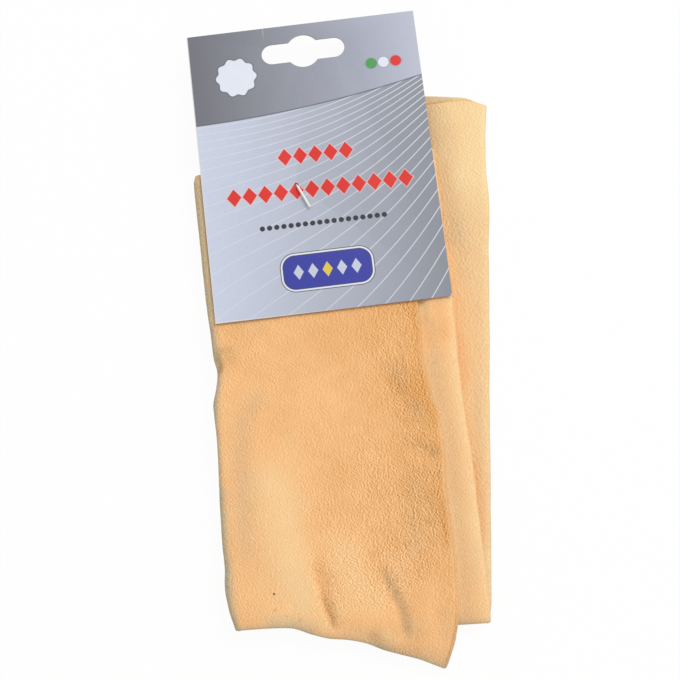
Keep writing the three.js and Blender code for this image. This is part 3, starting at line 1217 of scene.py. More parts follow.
    # What the finish reads: tone (with painted highlights and some painted light and shade), painted shade
    # and greying, painted crease shade, cut edges, and the nap and coarseness of the grain
    # Tone across the skin; its peaks at 2.0 and 4.0 are painted highlights on the noses of the right-hand
    # folds
    tone_across: Knots = (
        (0.0, 0.22), (0.1, 0.21), (0.22, 0.24), (0.36, 0.31), (0.5, 0.36), (0.65, 0.41), (0.8, 0.44),
        (1.0, 0.42), (1.8, 0.42), (1.96, 0.5), (2.0, 0.68), (2.2, 0.5), (3.0, 0.45), (3.8, 0.5),
        (3.97, 0.6), (4.0, 0.75), (4.3, 0.55), (5.0, 0.5),
    )
    tone: Sequence[Stroke] = (
        # Front panel, along its left fold
        # Painted shade in a dent of the left fold
        Stroke(((-35, -62), (-31, -64)), 2.5, -0.14, 0),
        Stroke(((-38, -96), (-36.5, -104)), 2.5, 0.12, 0),
        Stroke(((-36.0, 4), (-35.8, -44)), 4.0, 0.2, 0),
        # Front panel, middle
        Stroke(((-20, -113), (-18.5, -124), (-17.5, -138), (-14.5, -152)), 7.5, 0.28, 0),
        Stroke(((-25, -60), (20, -62)), 9.0, -0.1, 0),
        Stroke(((15, -65), (15.5, -70)), 4.0, 0.1, 0),
        Stroke(((10, -80), (10, -85)), 4.0, 0.08, 0),
        Stroke(((-24, -70), (-20, -71)), 4.0, -0.08, 0),
        Stroke(((3.4, -110), (3.4, -120)), 5.0, -0.08, 0),
        Stroke(((-10, -74), (-20, -92)), 5.0, -0.07, 0),
        Stroke(((-34, -53), (-19, -55.5)), 3.5, -0.09, 0),
        Stroke(((8.2, -76), (8.0, -78.5)), 3.0, -0.09, 0),
        Stroke(((4.5, -84), (4.2, -87)), 3.0, 0.1, 0),
        # Front panel, worn right side
        Stroke(((27, -74), (33, -88)), 6.0, -0.14, 0),
        Stroke(((38.6, -51), (38.1, -66), (37.2, -76), (38.4, -86), (40.4, -95)), 2.4, -0.2, 0),
        Stroke(((38.8, -126), (38.6, -140)), 1.8, -0.16, 0),
        Stroke(((36.5, -80), (38.0, -87)), 3.0, -0.16, 0),
        Stroke(((39.2, -107), (37.4, -116), (38.0, -138)), 4.0, -0.08, 0),
        Stroke(((26.5, -100), (25.5, -106), (28, -120)), 5.0, -0.07, 0),
        Stroke(((36.2, -96), (35, -95)), 2.5, -0.06, 0),
        Stroke(((27.8, -61.3), (23.4, -72.9)), 3.5, 0.1, 0),
        Stroke(((31.5, -79), (30.8, -82)), 3.0, -0.1, 0),
        # Front panel, creases and free corner
        Stroke(((-36, -151), (-12, -158)), 5.0, 0.08, 0),
        Stroke(((3.5, -141), (6, -153), (12, -158)), 8.0, 0.22, 0),
        # Painted shade in the first crease
        Stroke(
            ((-9.2, -135), (-8.6, -146), (-7.7, -153), (-6.0, -159.5)),
            2.6, -0.26, 0, lean=0.5, lead=0.35,
        ),
        Stroke(((-26, -160), (-9, -164)), 2.8, 0.24, 0),
        Stroke(((12.8, -170), (16, -172.5)), 2.4, 0.3, 0),
        Stroke(((-2.0, -157), (-1.5, -166)), 3.0, 0.12, 0),
        Stroke(((18.6, -147), (16.5, -144)), 3.0, 0.12, 0),
        Stroke(((33, -164), (31, -169), (26, -168)), 4.5, -0.1, 0),
        Stroke(((35.7, -157), (31, -161)), 5.0, 0.09, 0),
        Stroke(((23.3, -143.4), (21, -146)), 3.0, 0.1, 0),
        Stroke(((2, -167), (7, -169.5)), 2.5, 0.12, 0),
        Stroke(((29, -170), (30, -181)), 8.0, 0.27, 0),
        # Painted light on the slope right of the second crease
        Stroke(((20.2, -151), (22.4, -166)), 2.6, 0.12, 0),
        # This stroke and the next: painted shade on the walls of the second crease
        Stroke(((11.5, -141.5), (14.4, -145.8)), 2.2, -0.14, 0),
        Stroke(((15.2, -154.5), (16.4, -158.5)), 1.4, -0.12, 0),
        # Painted light on the right wall of the first crease
        Stroke(((-4.2, -155), (-3.2, -160)), 1.6, 0.15, 0),
        # Second panel
        # Painted light beside the front panel's raw edge, against its shade
        Stroke(
            (
                (40.2, -52), (39.6, -72), (40.4, -88), (42.6, -95),
                (42.8, -101), (41.6, -121), (41.2, -142), (39.2, -166),
            ),
            1.5, 0.28, 1,
        ),
        Stroke(((47, -50), (46, -62)), 7.0, -0.11, 1),
        Stroke(((49.2, -56), (48.6, -63)), 3.5, -0.13, 1),
        Stroke(((40.4, -58), (40.0, -70), (40.8, -78)), 1.8, -0.15, 1),
        # Painted light under the card's corner, against its shade
        Stroke(((40.8, -50), (41.0, -54)), 1.8, 0.3, 1),
        # Painted light on a slope of the second panel that faces away from the lamp
        Stroke(((43.4, -58), (43.0, -80)), 2.4, 0.1, 1),
        # Third panel
        # Painted shade beside the second panel's fold
        Stroke(((53.2, -112), (51.9, -135)), 2.4, -0.2, 3),
        Stroke(((52.8, -86), (52.3, -99), (51.2, -112)), 2.2, 0.07, 3),
        # Painted shade beside the second panel's fold
        Stroke(((54.0, -65), (53.4, -72), (53.2, -80)), 2.2, -0.18, 3),
        Stroke(((56, 22), (57.5, 8)), 4.0, 0.1, 3),
        Stroke(((56.5, 3), (57, -2)), 2.0, -0.12, 3),
        Stroke(((64, -18), (62.5, -26)), 4.5, 0.1, 3),
        Stroke(((54, 27), (60, 24)), 5.0, 0.14, 3),
        Stroke(((55, -30), (54, -46)), 3.0, 0.1, 3),
        # Painted light beside the second panel's fold, against its shade
        Stroke(((52, -146), (50.4, -158), (49.6, -164)), 2.0, 0.26, 3),
        Stroke(((70, 26), (66, 0)), 13.0, 0.36, 3),
        Stroke(((64, -5), (62, -40)), 9.0, 0.1, 3),
        Stroke(((54.4, -11), (55.0, -22)), 2.0, 0.12, 3),
        # Back panel's top
        Stroke(((56, 31), (70, 28.5)), 4.0, 0.28, 4),
    )
    # Painted shade beside the card, along the rims, in hollows and creases, beside the folds and under the
    # third panel's top; a little greying where the leather is worn
    shade_and_greying: Sequence[Stroke] = (
        # Front panel, along its left fold
        Stroke(((-36.0, 4), (-35.8, -44)), 4.0, 0.54, 0),
        Stroke(((-37.4, -51), (-37.0, -60)), 2.4, 0.42, 0),
        Stroke(((-37.0, -71), (-38.9, -80), (-39.2, -84)), 1.8, 0.34, 0),
        Stroke(((-40.2, -138), (-40.4, -148)), 2.0, 0.25, 0),
        Stroke(((-35, -62.8), (-31, -63.2)), 2.0, 0.16, 0),
        Stroke(((-39.8, -112), (-40.3, -131), (-40.6, -147), (-39.6, -158)), 2.2, 0.35, 0),
        Stroke(((-28.6, -108), (-28.4, -118)), 3.0, 0.07, 0),
        Stroke(
            ((-21.5, -74), (-23.5, -80.6), (-28.6, -86), (-30.5, -95), (-31.8, -104), (-33, -135)),
            3.4, 0.2, 0, lead=0.12,
        ),
        # Front panel, middle
        Stroke(((-26, -52), (-20, -53)), 3.5, 0.08, 0),
        Stroke(((-14.5, -91), (-13, -95)), 3.5, 0.07, 0),
        # Front panel, worn right side
        Stroke(((29, -118), (27, -140)), 5.0, 0.12, 0),
        Stroke(((28.3, -75.4), (30.0, -80)), 3.0, 0.18, 0),
        Stroke(((32.8, -89.1), (35.5, -92)), 2.6, 0.2, 0),
        Stroke(((36.5, -105.6), (40.0, -107.8)), 1.8, 0.09, 0),
        Stroke(((38.5, -111), (40.5, -118)), 1.2, 0.06, 0),
        Stroke(((36.0, -126), (37.5, -136)), 5.0, 0.06, 0),
        # Front panel, creases and free corner
        Stroke(((-26, -160.4), (-20.3, -161.5), (-13.5, -164.0)), 2.2, 0.32, 0),
        Stroke(((19.4, -168.4), (24, -169)), 3.0, 0.16, 0),
        Stroke(((34.8, -164), (33.6, -171)), 2.5, 0.12, 0),
        Stroke(((2, -167), (7, -169.5)), 2.5, 0.12, 0),
        Stroke(((8.6, -169.5), (10.6, -174.0)), 2.5, 0.2, 0),
        Stroke(
            ((14.0, -145), (18.2, -157.7), (20.0, -163), (20.4, -167)),
            2.2, 0.15, 0, lean=0.3, lead=0.4,
        ),
        Stroke(((34.0, -183.5), (24.0, -178.8), (12.0, -174.5)), 3.6, 0.22, 0),
        Stroke(((38.9, -166), (35.9, -176), (32.2, -182.8)), 0.9, 0.4, 0),
        # Second panel
        Stroke(((48.5, -144), (48, -154)), 3.0, 0.08, 1),
        Stroke(
            ((41, -68), (41.2, -78), (42, -88), (44, -97), (43.5, -121), (43, -143), (41.5, -166)),
            4.2, 0.18, 1, lead=0.06,
        ),
        Stroke(((46, -51.5), (48, -51)), 2.0, 0.1, 1),
        Stroke(((38.6, -168.3), (50.5, -169.0)), 1.2, 0.4, 1),
        # Third panel
        Stroke(((58.5, -30), (57.5, -42)), 3.0, 0.1, 3),
        Stroke(((53, 27), (55, 0), (57, -25)), 5.0, 0.3, 3),
        Stroke(((66, -20), (60, -80), (52, -150)), 12.0, 0.1, 3),
        Stroke(((57.5, -84), (55.4, -99.7), (53.8, -116)), 1.8, 0.12, 3),
        Stroke(((54.5, -122), (53.0, -145), (50.0, -164)), 4.0, 0.08, 3),
        Stroke(((51.2, -152), (49.6, -165)), 1.6, 0.13, 3),
        Stroke(((60.2, 24), (60.8, 4)), 2.6, 0.1, 3),
        # Back panel's top
        Stroke(((52, 32), (73, 27)), 3.0, 0.38, 4),
    )
    # Painted shade in the creases, in the dents of the left fold and beside the third panel's top edge
    shaded_creases: Sequence[Stroke] = (
        Stroke(
            ((-8.2, -148.5), (-7.2, -154), (-6.2, -158.3), (-5.4, -161.2), (-5.3, -163.6)),
            1.1, 0.46, 0, lean=0.3, lead=0.6,
        ),
        Stroke(
            ((13.4, -143.5), (16.6, -153.4), (18.3, -157.7), (19.8, -162), (20.0, -168.5)),
            1.6, 0.33, 0, lean=0.3, lead=0.3,
        ),
        Stroke(((8.6, -169.5), (10.2, -174.0)), 2.0, 0.24, 0),
        Stroke(((-36.4, -61.3), (-35.3, -65.6), (-36.2, -68.1)), 1.1, 0.85, 0),
        Stroke(((-36.5, -59.6), (-31.4, -60.4)), 0.9, 0.25, 0),
        Stroke(((52.0, 29.3), (57.0, 29.45), (62.5, 29.4)), 0.6, 0.5, 4),
        Stroke(((31.0, -101), (35.6, -105), (37.8, -106.6), (40.2, -108)), 0.8, 0.24, 0, lead=0.5),
    )
    # Width and strength of the painted shade along the front panel's left and bottom rims, and how much of it
    # fades round the bends
    left_rim: tuple[float, float] = (1.5, 0.75)
    bottom_rim: tuple[float, float] = (1.2, 0.52)
    dusk_lost_in_bend: float = 0.6
    raw_band: float = 0.7
    raw_band_ends: tuple[float, float] = (-172.0, -160.0)
    nap_across: Knots = (
        (0.0, 0.7), (0.3, 0.46), (0.5, 0.2), (0.65, 0.17), (0.8, 0.22), (1.0, 0.22), (1.6, 0.06), (2.0, 0.08),
        (3.0, 0.2), (3.8, 0.24), (3.86, 0.12), (3.9, 0.0), (5.0, 0.0),
    )
    coarse_across: Knots = ((0.0, 0.0), (2.0, 0.0), (3.0, 1.0), (5.0, 1.0))
    nap: Sequence[Stroke] = (
        # Front panel, middle
        Stroke(((-10, -60), (12, -62), (8, -88)), 14.0, -0.18, 0),
        Stroke(((-22, -62), (-10, -68)), 7.0, 0.14, 0),
        Stroke(((-10, -54), (4, -55)), 5.0, 0.14, 0),
        Stroke(((15.5, -72), (14, -92)), 5.0, -0.15, 0),
        Stroke(((-9, -117), (-4.5, -126)), 5.0, 0.22, 0),
        Stroke(((14, -112), (24, -125), (20, -150)), 10.0, 0.36, 0),
        Stroke(((-20, -104), (-18, -138), (-14, -154)), 7.0, -0.2, 0),
        # Front panel, worn right side
        Stroke(((35.5, -53.5), (39.8, -55)), 3.2, 0.42, 0),
        Stroke(((28.5, -80), (29, -92), (32, -103)), 5.0, 0.42, 0),
        Stroke(((31.5, -113), (27.5, -122)), 3.5, 0.22, 0),
        Stroke(((40.8, -112), (40.0, -136)), 1.9, 1.0, 0),
        Stroke(((24, -94), (24, -97)), 4.0, -0.5, 0),
        Stroke(((22, -108), (22.4, -113)), 4.0, -0.2, 0),
        Stroke(((22, -66), (22.5, -71)), 4.0, 0.2, 0),
        # Front panel, creases and free corner
        Stroke(((2, -138), (6, -152)), 8.0, 0.58, 0),
        Stroke(((29.5, -134), (27, -148)), 4.5, 0.72, 0),
        Stroke(((26, -156), (24, -170)), 4.0, -0.2, 0),
        Stroke(((22.5, -145), (17, -151)), 4.0, 0.25, 0),
        Stroke(((9, -163), (16, -165)), 4.0, -0.35, 0),
        Stroke(((-7, -145), (-5, -160)), 4.5, 0.5, 0),
        Stroke(((34, -152), (32, -176)), 8.0, -0.5, 0),
        Stroke(((17.8, -157), (19.1, -164), (19.0, -170)), 3.0, -0.35, 0),
        # Third panel
        Stroke(((53, -108), (52.2, -118)), 2.5, 0.3, 3),
        Stroke(((58.5, -20), (58, -36)), 4.0, 0.25, 3),
    )

    @property
    def edges(self) -> tuple[Knots, ...]:
        """The raw edges and folds in order, front to back."""
        folds = (self.left_fold, self.inner_right, self.inner_left, self.outer_right)
        return (self.front_raw, *folds, self.back_raw)

    @property
    def front_width(self) -> float:
        """Width of the front panel at its top."""
        return self.front_raw[0][1] - self.left_fold[0][1]

    @property
    def thickness(self) -> float:
        """Thickness of one panel."""
        return 2 * self.ply + self.ply_gap

    @property
    def pitch(self) -> float:
        """Height from one panel to the next."""
        return self.thickness + self.panel_gap

    @property
    def stack(self) -> float:
        """Height of all panels."""
        return self.thickness + (len(self.edges) - 2) * self.pitch

    @property
    def nose(self) -> float:
        """Outer radius of a fold between panels."""
        return (self.pitch + self.thickness) / 2

    def edge_x(self, edge: int, y: np.ndarray) -> np.ndarray:
        """Follows an edge, with its small irregularities.

        Args:
            edge: Number of the edge.
            y: Heights.

        Returns:
            The edge's sideways place at each height.
        """
        amount, length = self.fold_wander, self.fold_wave_length
        if edge in (0, len(self.edges) - 1):
            amount, length = self.raw_wander, self.raw_wave_length
        return through(self.edges[edge], y) + amount * Wave(self.edge_seed + edge, length).at(y)

    def stations(self) -> list[Station]:
        """Lists every section, round each fold on the way.

        Returns:
            The sections from the front raw edge to the back one.
        """
        found = []
        last = len(self.column_runs) - 1
        for panel, runs in enumerate(self.column_runs):
            shares = np.zeros(1)
            for stop, columns in runs:
                shares = np.append(shares, np.linspace(shares[-1], stop, int(columns) + 1)[1:])
            if panel == 0:
                shares = np.insert(shares, 1, self.lips[0] / self.front_width)
            found += [Station(panel, share) for share in shares]
            if panel < last:
                turns = np.linspace(0, np.pi, self.bend_columns + 2)[1:-1]
                found += [Station(panel, 1.0, turn) for turn in turns]
        return found

    def span(self, panel: int, y: np.ndarray) -> tuple[np.ndarray, np.ndarray]:
        """Finds a panel's flat part, short of the folds beside it.

        Args:
            panel: Number of the panel.
            y: Heights.

        Returns:
            Where the flat part starts and stops at each height.
        """
        inset = self.nose if panel % 2 == 0 else -self.nose
        start = self.edge_x(panel, y) - (inset if panel > 0 else 0)
        stop = self.edge_x(panel + 1, y) + (inset if panel < len(self.edges) - 2 else 0)
        return start, stop

    def ends(self, station: Station) -> tuple[float, float]:
        """Finds where a section meets the outline.

        Args:
            station: The section.

        Returns:
            Heights of its raw top and of its bottom fold.
        """
        first, last = self.edges[station.panel : station.panel + 2]
        heights = []
        for end, knots in ((0, self.top_knots), (-1, self.bottom_knots)):
            line = [first[end][::-1], *knots[station.panel], last[end][::-1]]
            y = np.array((line[0][1] + line[-1][1]) / 2)
            for _ in range(self.outline_tries):
                start, stop = self.span(station.panel, y)
                y = through(line, start + station.share * (stop - start))
            heights.append(float(y))
        return heights[0], heights[1]

    def hairpin(self, station: Station, radius: float) -> tuple[np.ndarray, np.ndarray]:
        """Goes down a section's front ply, round its bottom fold and up its back ply.

        Args:
            station: The section.
            radius: Distance of the surface from the panel's middle.

        Returns:
            Heights, and signed offsets from the panel's middle.
        """
        top, bottom = self.ends(station)
        around = np.array(self.top_run * (station.panel + station.share))
        front_top = top + self.raw_wander * self.front_top_wave.at(around)
        back_top = top - self.back_top_drop + self.back_top_wander * self.back_top_wave.at(around)
        centre = bottom + self.thickness / 2
        down = np.linspace(0, 1, self.rows) ** self.row_crowding
        down = np.insert(down, 1, np.array(self.lips) / (top - bottom))
        turn = np.linspace(0, np.pi, self.bend_rows + 2)[1:-1]
        front = front_top + (centre - front_top) * down
        back = (back_top + (centre - back_top) * down)[::-1]
        y = np.concatenate([front, centre - radius * np.sin(turn), back])
        sides = [np.full(len(down), Ply.FRONT.value), np.cos(turn), np.full(len(down), Ply.BACK.value)]
        return y, radius * np.concatenate(sides)

    def section(self, station: Station, radius: float) -> np.ndarray:
        """Places one surface of a section.

        Args:
            station: The section.
            radius: Distance of the surface from the panel's middle.

        Returns:
            Points down the front ply and up the back one.
        """
        panel = station.panel
        last = len(self.edges) - 2
        y, offset = self.hairpin(station, radius)
        up = 1 if panel % 2 == 0 else -1
        middle = self.thickness / 2 + (last - panel) * self.pitch
        start, stop = self.span(panel, y)
        if station.turn:
            bend = self.pitch / 2 + up * offset
            x = stop - up * bend * np.sin(station.turn)
            z = middle - self.pitch / 2 + bend * np.cos(station.turn)
            return np.stack([x, y, z], axis=1)
        x = start + station.share * (stop - start)
        if panel == 0:
            behind = smooth(radius, -radius, offset)
            x = x + through(self.back_ply_slip, y) * behind * (1 - station.share) ** self.slip_fade
        return np.stack([x, y, middle + up * offset], axis=1)

    def settled(self, points: np.ndarray, panels: np.ndarray, bottoms: np.ndarray) -> np.ndarray:
        """Lets the flat stack lie as soft leather does.

        Args:
            points: Points of the flat stack.
            panels: Panel of each point.
            bottoms: Height of the bottom fold below each point.

        Returns:
            Points with the swells and creases, the rolled bottom, the tuck round the pin and the drooping
            free corner.
        """
        x, y, z = points.T
        height = z / self.stack
        rise = self.settle + strokes_over(self.relief, x, y, panels) + self.wrinkles(x, y, panels)
        rise = rise - self.bottom_roll * np.exp(-(((y - bottoms) / self.roll_reach) ** 2))
        first, second = self.ripple_waves
        first_slant, second_slant = self.ripple_slants
        rise = rise + self.ripple * first.at(x + first_slant * y) * second.at(y + second_slant * x)
        away = np.maximum(np.abs(x), np.abs(y)) - self.tuck_reach
        tuck = self.tuck_depth * (1 - np.clip(away / self.tuck_run_out, 0, 1))
        hang = np.clip((self.droop_from - y) / self.droop_run, 0, None) ** self.droop_power
        hang = np.where(panels == 0, self.droop * np.minimum(hang, 1.0), 0.0)
        z = z + rise * height + tuck * (1 - height) - hang
        return np.stack([x, y, z], axis=1)

    def wrinkles(self, x: np.ndarray, y: np.ndarray, panels: np.ndarray) -> np.ndarray:
        """Raises the slanting wrinkles where the front panel is worn.

        Args:
            x: Sideways places.
            y: Heights up the skin.
            panels: Panel of each place.

        Returns:
            How far each place is raised.
        """
        c, s = math.cos(self.wrinkle_slant), math.sin(self.wrinkle_slant)
        along, across = c * x + s * y, c * y - s * x
        wave = self.wrinkle_wave.at(across + self.sway * self.sway_wave.at(along))
        broken = 1 - self.breaks + self.breaks * self.break_wave.at(along + self.break_slant * across)
        worn = np.clip(strokes_over(self.worn, x, y, panels), 0, 1)
        return self.wrinkle_height * worn * wave * broken

    def rims(self) -> list[Stroke]:
        """Follows the rims of the front panel, along which shade is painted.

        Returns:
            Strokes along its left fold and its bottom fold.
        """
        left = [knot[::-1] for knot in self.left_fold]
        bottom = [self.front_raw[-1][::-1], *self.bottom_knots[0], left[-1]]
        return [Stroke(left, *self.left_rim, 0), Stroke(bottom, *self.bottom_rim, 0)]

    def marks(
        self, points: np.ndarray, panels: np.ndarray, shares: np.ndarray, turns: np.ndarray
    ) -> dict[str, np.ndarray]:
        """Works out what the finish reads.

        Args:
            points: Points of the settled skin.
            panels: Panel of each point.
            shares: Place of each point across the skin.
            turns: Turn of each point round a fold.

        Returns:
            Values from 0 to 1 at each point, by name.
        """

        def painted(strokes: Sequence[Stroke]) -> np.ndarray:
            """Adds up some strokes at the points."""
            return strokes_over(strokes, *points.T[:2], panels)

        found = {
            "tone": through(self.tone_across, shares) + painted(self.tone),
            "shade_and_greying": painted((*self.shade_and_greying, *self.rims())) * (1 - self.dusk_lost_in_bend * turns / np.pi),
            "crease_shade": painted(self.shaded_creases),
            "nap": through(self.nap_across, shares) + painted(self.nap),
            "coarse": through(self.coarse_across, shares),
            "worn": painted(self.worn),
        }
        return {name: np.clip(values, 0, 1) for name, values in found.items()}

    def cut(self, points: np.ndarray, shares: np.ndarray, size: int) -> np.ndarray:
        """Marks cut leather: the raw tops, the back raw edge and a band along the front one.

        Args:
            points: Points of the settled skin.
            shares: Place of each point across the skin.
            size: Number of points in a section.

        Returns:
            1 where the leather is cut, and down to 0 elsewhere.
        """
        tops = np.zeros((len(points) // size, size))
        tops[:, [0, size // 2 - 1, size // 2, size - 1]] = 1.0
        tops[-1] = 1.0
        band = np.exp(-((shares * self.front_width / self.raw_band) ** 2))
        band = band * smooth(*self.raw_band_ends, points[:, 1])
        return np.maximum(tops.ravel(), band)

    def faces(self, count: int, size: int) -> list[list[int]]:
        """Joins the sections.

        Args:
            count: Number of sections.
            size: Number of points in each.

        Returns:
            Quads between neighbouring sections, and the cut faces at both raw edges.
        """
        ring = np.arange(size)
        following = np.roll(ring, -1)
        base = (np.arange(count - 1) * size)[:, None]
        quads = np.stack([base + ring, base + size + ring, base + size + following, base + following], -1)
        k = np.arange(size // 2 - 1)
        across = size - 1 - k
        first = np.stack([k, k + 1, across - 1, across], -1)
        last = first[:, ::-1] + (count - 1) * size
        return np.concatenate([quads.reshape(-1, 4), first, last]).tolist()

    def build(self) -> bpy.types.Object:
        """Makes the skin and dresses it.

        Returns:
            The dressed skin.
        """
        stations = self.stations()
        outer, inner = self.thickness / 2, self.ply_gap / 2
        rings = [np.concatenate([self.section(s, outer), self.section(s, inner)[::-1]]) for s in stations]
        size = len(rings[0])
        panels = np.repeat([s.panel for s in stations], size)
        shares = np.repeat([s.panel + s.share for s in stations], size)
        turns = np.repeat([s.turn for s in stations], size)
        bottoms = np.repeat([self.ends(s)[1] for s in stations], size)
        points = self.settled(np.concatenate(rings), panels, bottoms)
        piece = add_mesh("folded_chamois", points, self.faces(len(stations), size))
        for name, values in self.marks(points, panels, shares, turns).items():
            store(piece, name, values)
        store(piece, "cut", self.cut(points, shares, size))
        soften(piece, self.sharp_above)
        dress(piece, ChamoisFinish().build(), "bundle", "chamois_skin")
        return piece


@dataclass
class HangingCard:
    """The printed card: a flat board with a hang slot and the hole that the needle left."""

    slot_length: float = 32.0
    slot_height: float = 8.0
    slot_eye: float = 13.2
    slot_drop: float = 11.2
    hole_radius: float = 0.775
    rim: float = 0.07
    rim_steps: int = 2
    arc_steps: int = 24
    weld_reach: float = 0.002
    sharp_above: float = 35.0

    def arc(self, x: float, y: float, radius: float, start: float, stop: float) -> list[tuple[float, float]]:
        """Points along an arc between two angles in degrees."""
        angles = np.radians(np.linspace(start, stop, self.arc_steps))
        return [(x + radius * math.cos(a), y + radius * math.sin(a)) for a in angles]

    def outlines(self, low: np.ndarray, high: np.ndarray) -> list[list[tuple[float, float]]]:
        """The card's outline, its hang slot and its needle hole.

        Args:
            low: Lowest corner of the card.
            high: Highest corner.

        Returns:
            Closed loops of points.
        """
        board = [(low[0], low[1]), (high[0], low[1]), (high[0], high[1]), (low[0], high[1])]
        x, y = (low[0] + high[0]) / 2, high[1] - self.slot_drop
        lobe, eye = self.slot_height / 2, self.slot_eye / 2
        reach = self.slot_length / 2 - lobe
        meet = math.degrees(math.asin(lobe / eye))
        slot = [
            *self.arc(x - reach, y, lobe, 90, 270),
            *self.arc(x, y, eye, 180 + meet, 360 - meet),
            *self.arc(x + reach, y, lobe, 270, 450),
            *self.arc(x, y, eye, meet, 180 - meet),
        ]
        hole = self.arc(0.0, 0.0, self.hole_radius, 0, 360 - 360 / self.arc_steps)
        return [board, slot, hole]

    def cut_out(self, low: np.ndarray, high: np.ndarray) -> bpy.types.Mesh:
        """Cuts the board to its outlines, with rounded rims.

        Args:
            low: Lowest corner of the card.
            high: Highest corner.

        Returns:
            A closed mesh in the frame's metres.
        """
        curve = bpy.data.curves.new("hanging_card", "CURVE")
        curve.dimensions = "2D"
        curve.fill_mode = "BOTH"
        curve.extrude = ((high[2] - low[2]) / 2 - self.rim) * MM
        curve.bevel_depth = self.rim * MM
        curve.offset = -self.rim * MM
        curve.bevel_resolution = self.rim_steps
        for loop in self.outlines(low, high):
            spline = curve.splines.new("POLY")
            spline.points.add(len(loop) - 1)
            for point, (x, y) in zip(spline.points, loop):
                point.co = ((x + PIN_AXIS[0]) * MM, (y + PIN_AXIS[1]) * MM, 0, 1)
            spline.use_cyclic_u = True
        drawn = add_object("card_outline", curve)
        mesh = evaluated(drawn)
        bpy.data.objects.remove(drawn)
        mesh.transform(Matrix.Translation((0, 0, (low[2] + high[2]) / 2 * MM)))
        self.weld(mesh)
        return mesh

    def weld(self, mesh: bpy.types.Mesh) -> None:
        """Joins the card's faces and rims into one closed mesh.

        Args:
            mesh: The mesh, which is changed.
        """
        shape = bmesh.new()
        shape.from_mesh(mesh)
        bmesh.ops.remove_doubles(shape, verts=shape.verts, dist=self.weld_reach * MM)
        bmesh.ops.recalc_face_normals(shape, faces=shape.faces)
        shape.to_mesh(mesh)
        shape.free()

    def build(self) -> bpy.types.Object:
        """Makes the card in its node's box and dresses it.

        Returns:
            The dressed card.
        """
        low, high = (np.array(corner) / MM - PIN_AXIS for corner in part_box("header_card"))
        piece = add_object("hanging_card", self.cut_out(low, high))
        soften(piece, self.sharp_above)
        middle = (low + high) / 2 + PIN_AXIS
        finish = CardFinish(
            middle=tuple(float(v) for v in middle),
            half=tuple(float(v) for v in (high - low)[:2] / 2),
            front=float(high[2] - low[2]) / 2,
        )
        dress(piece, finish.build(), "card", "header_card")
        return piece


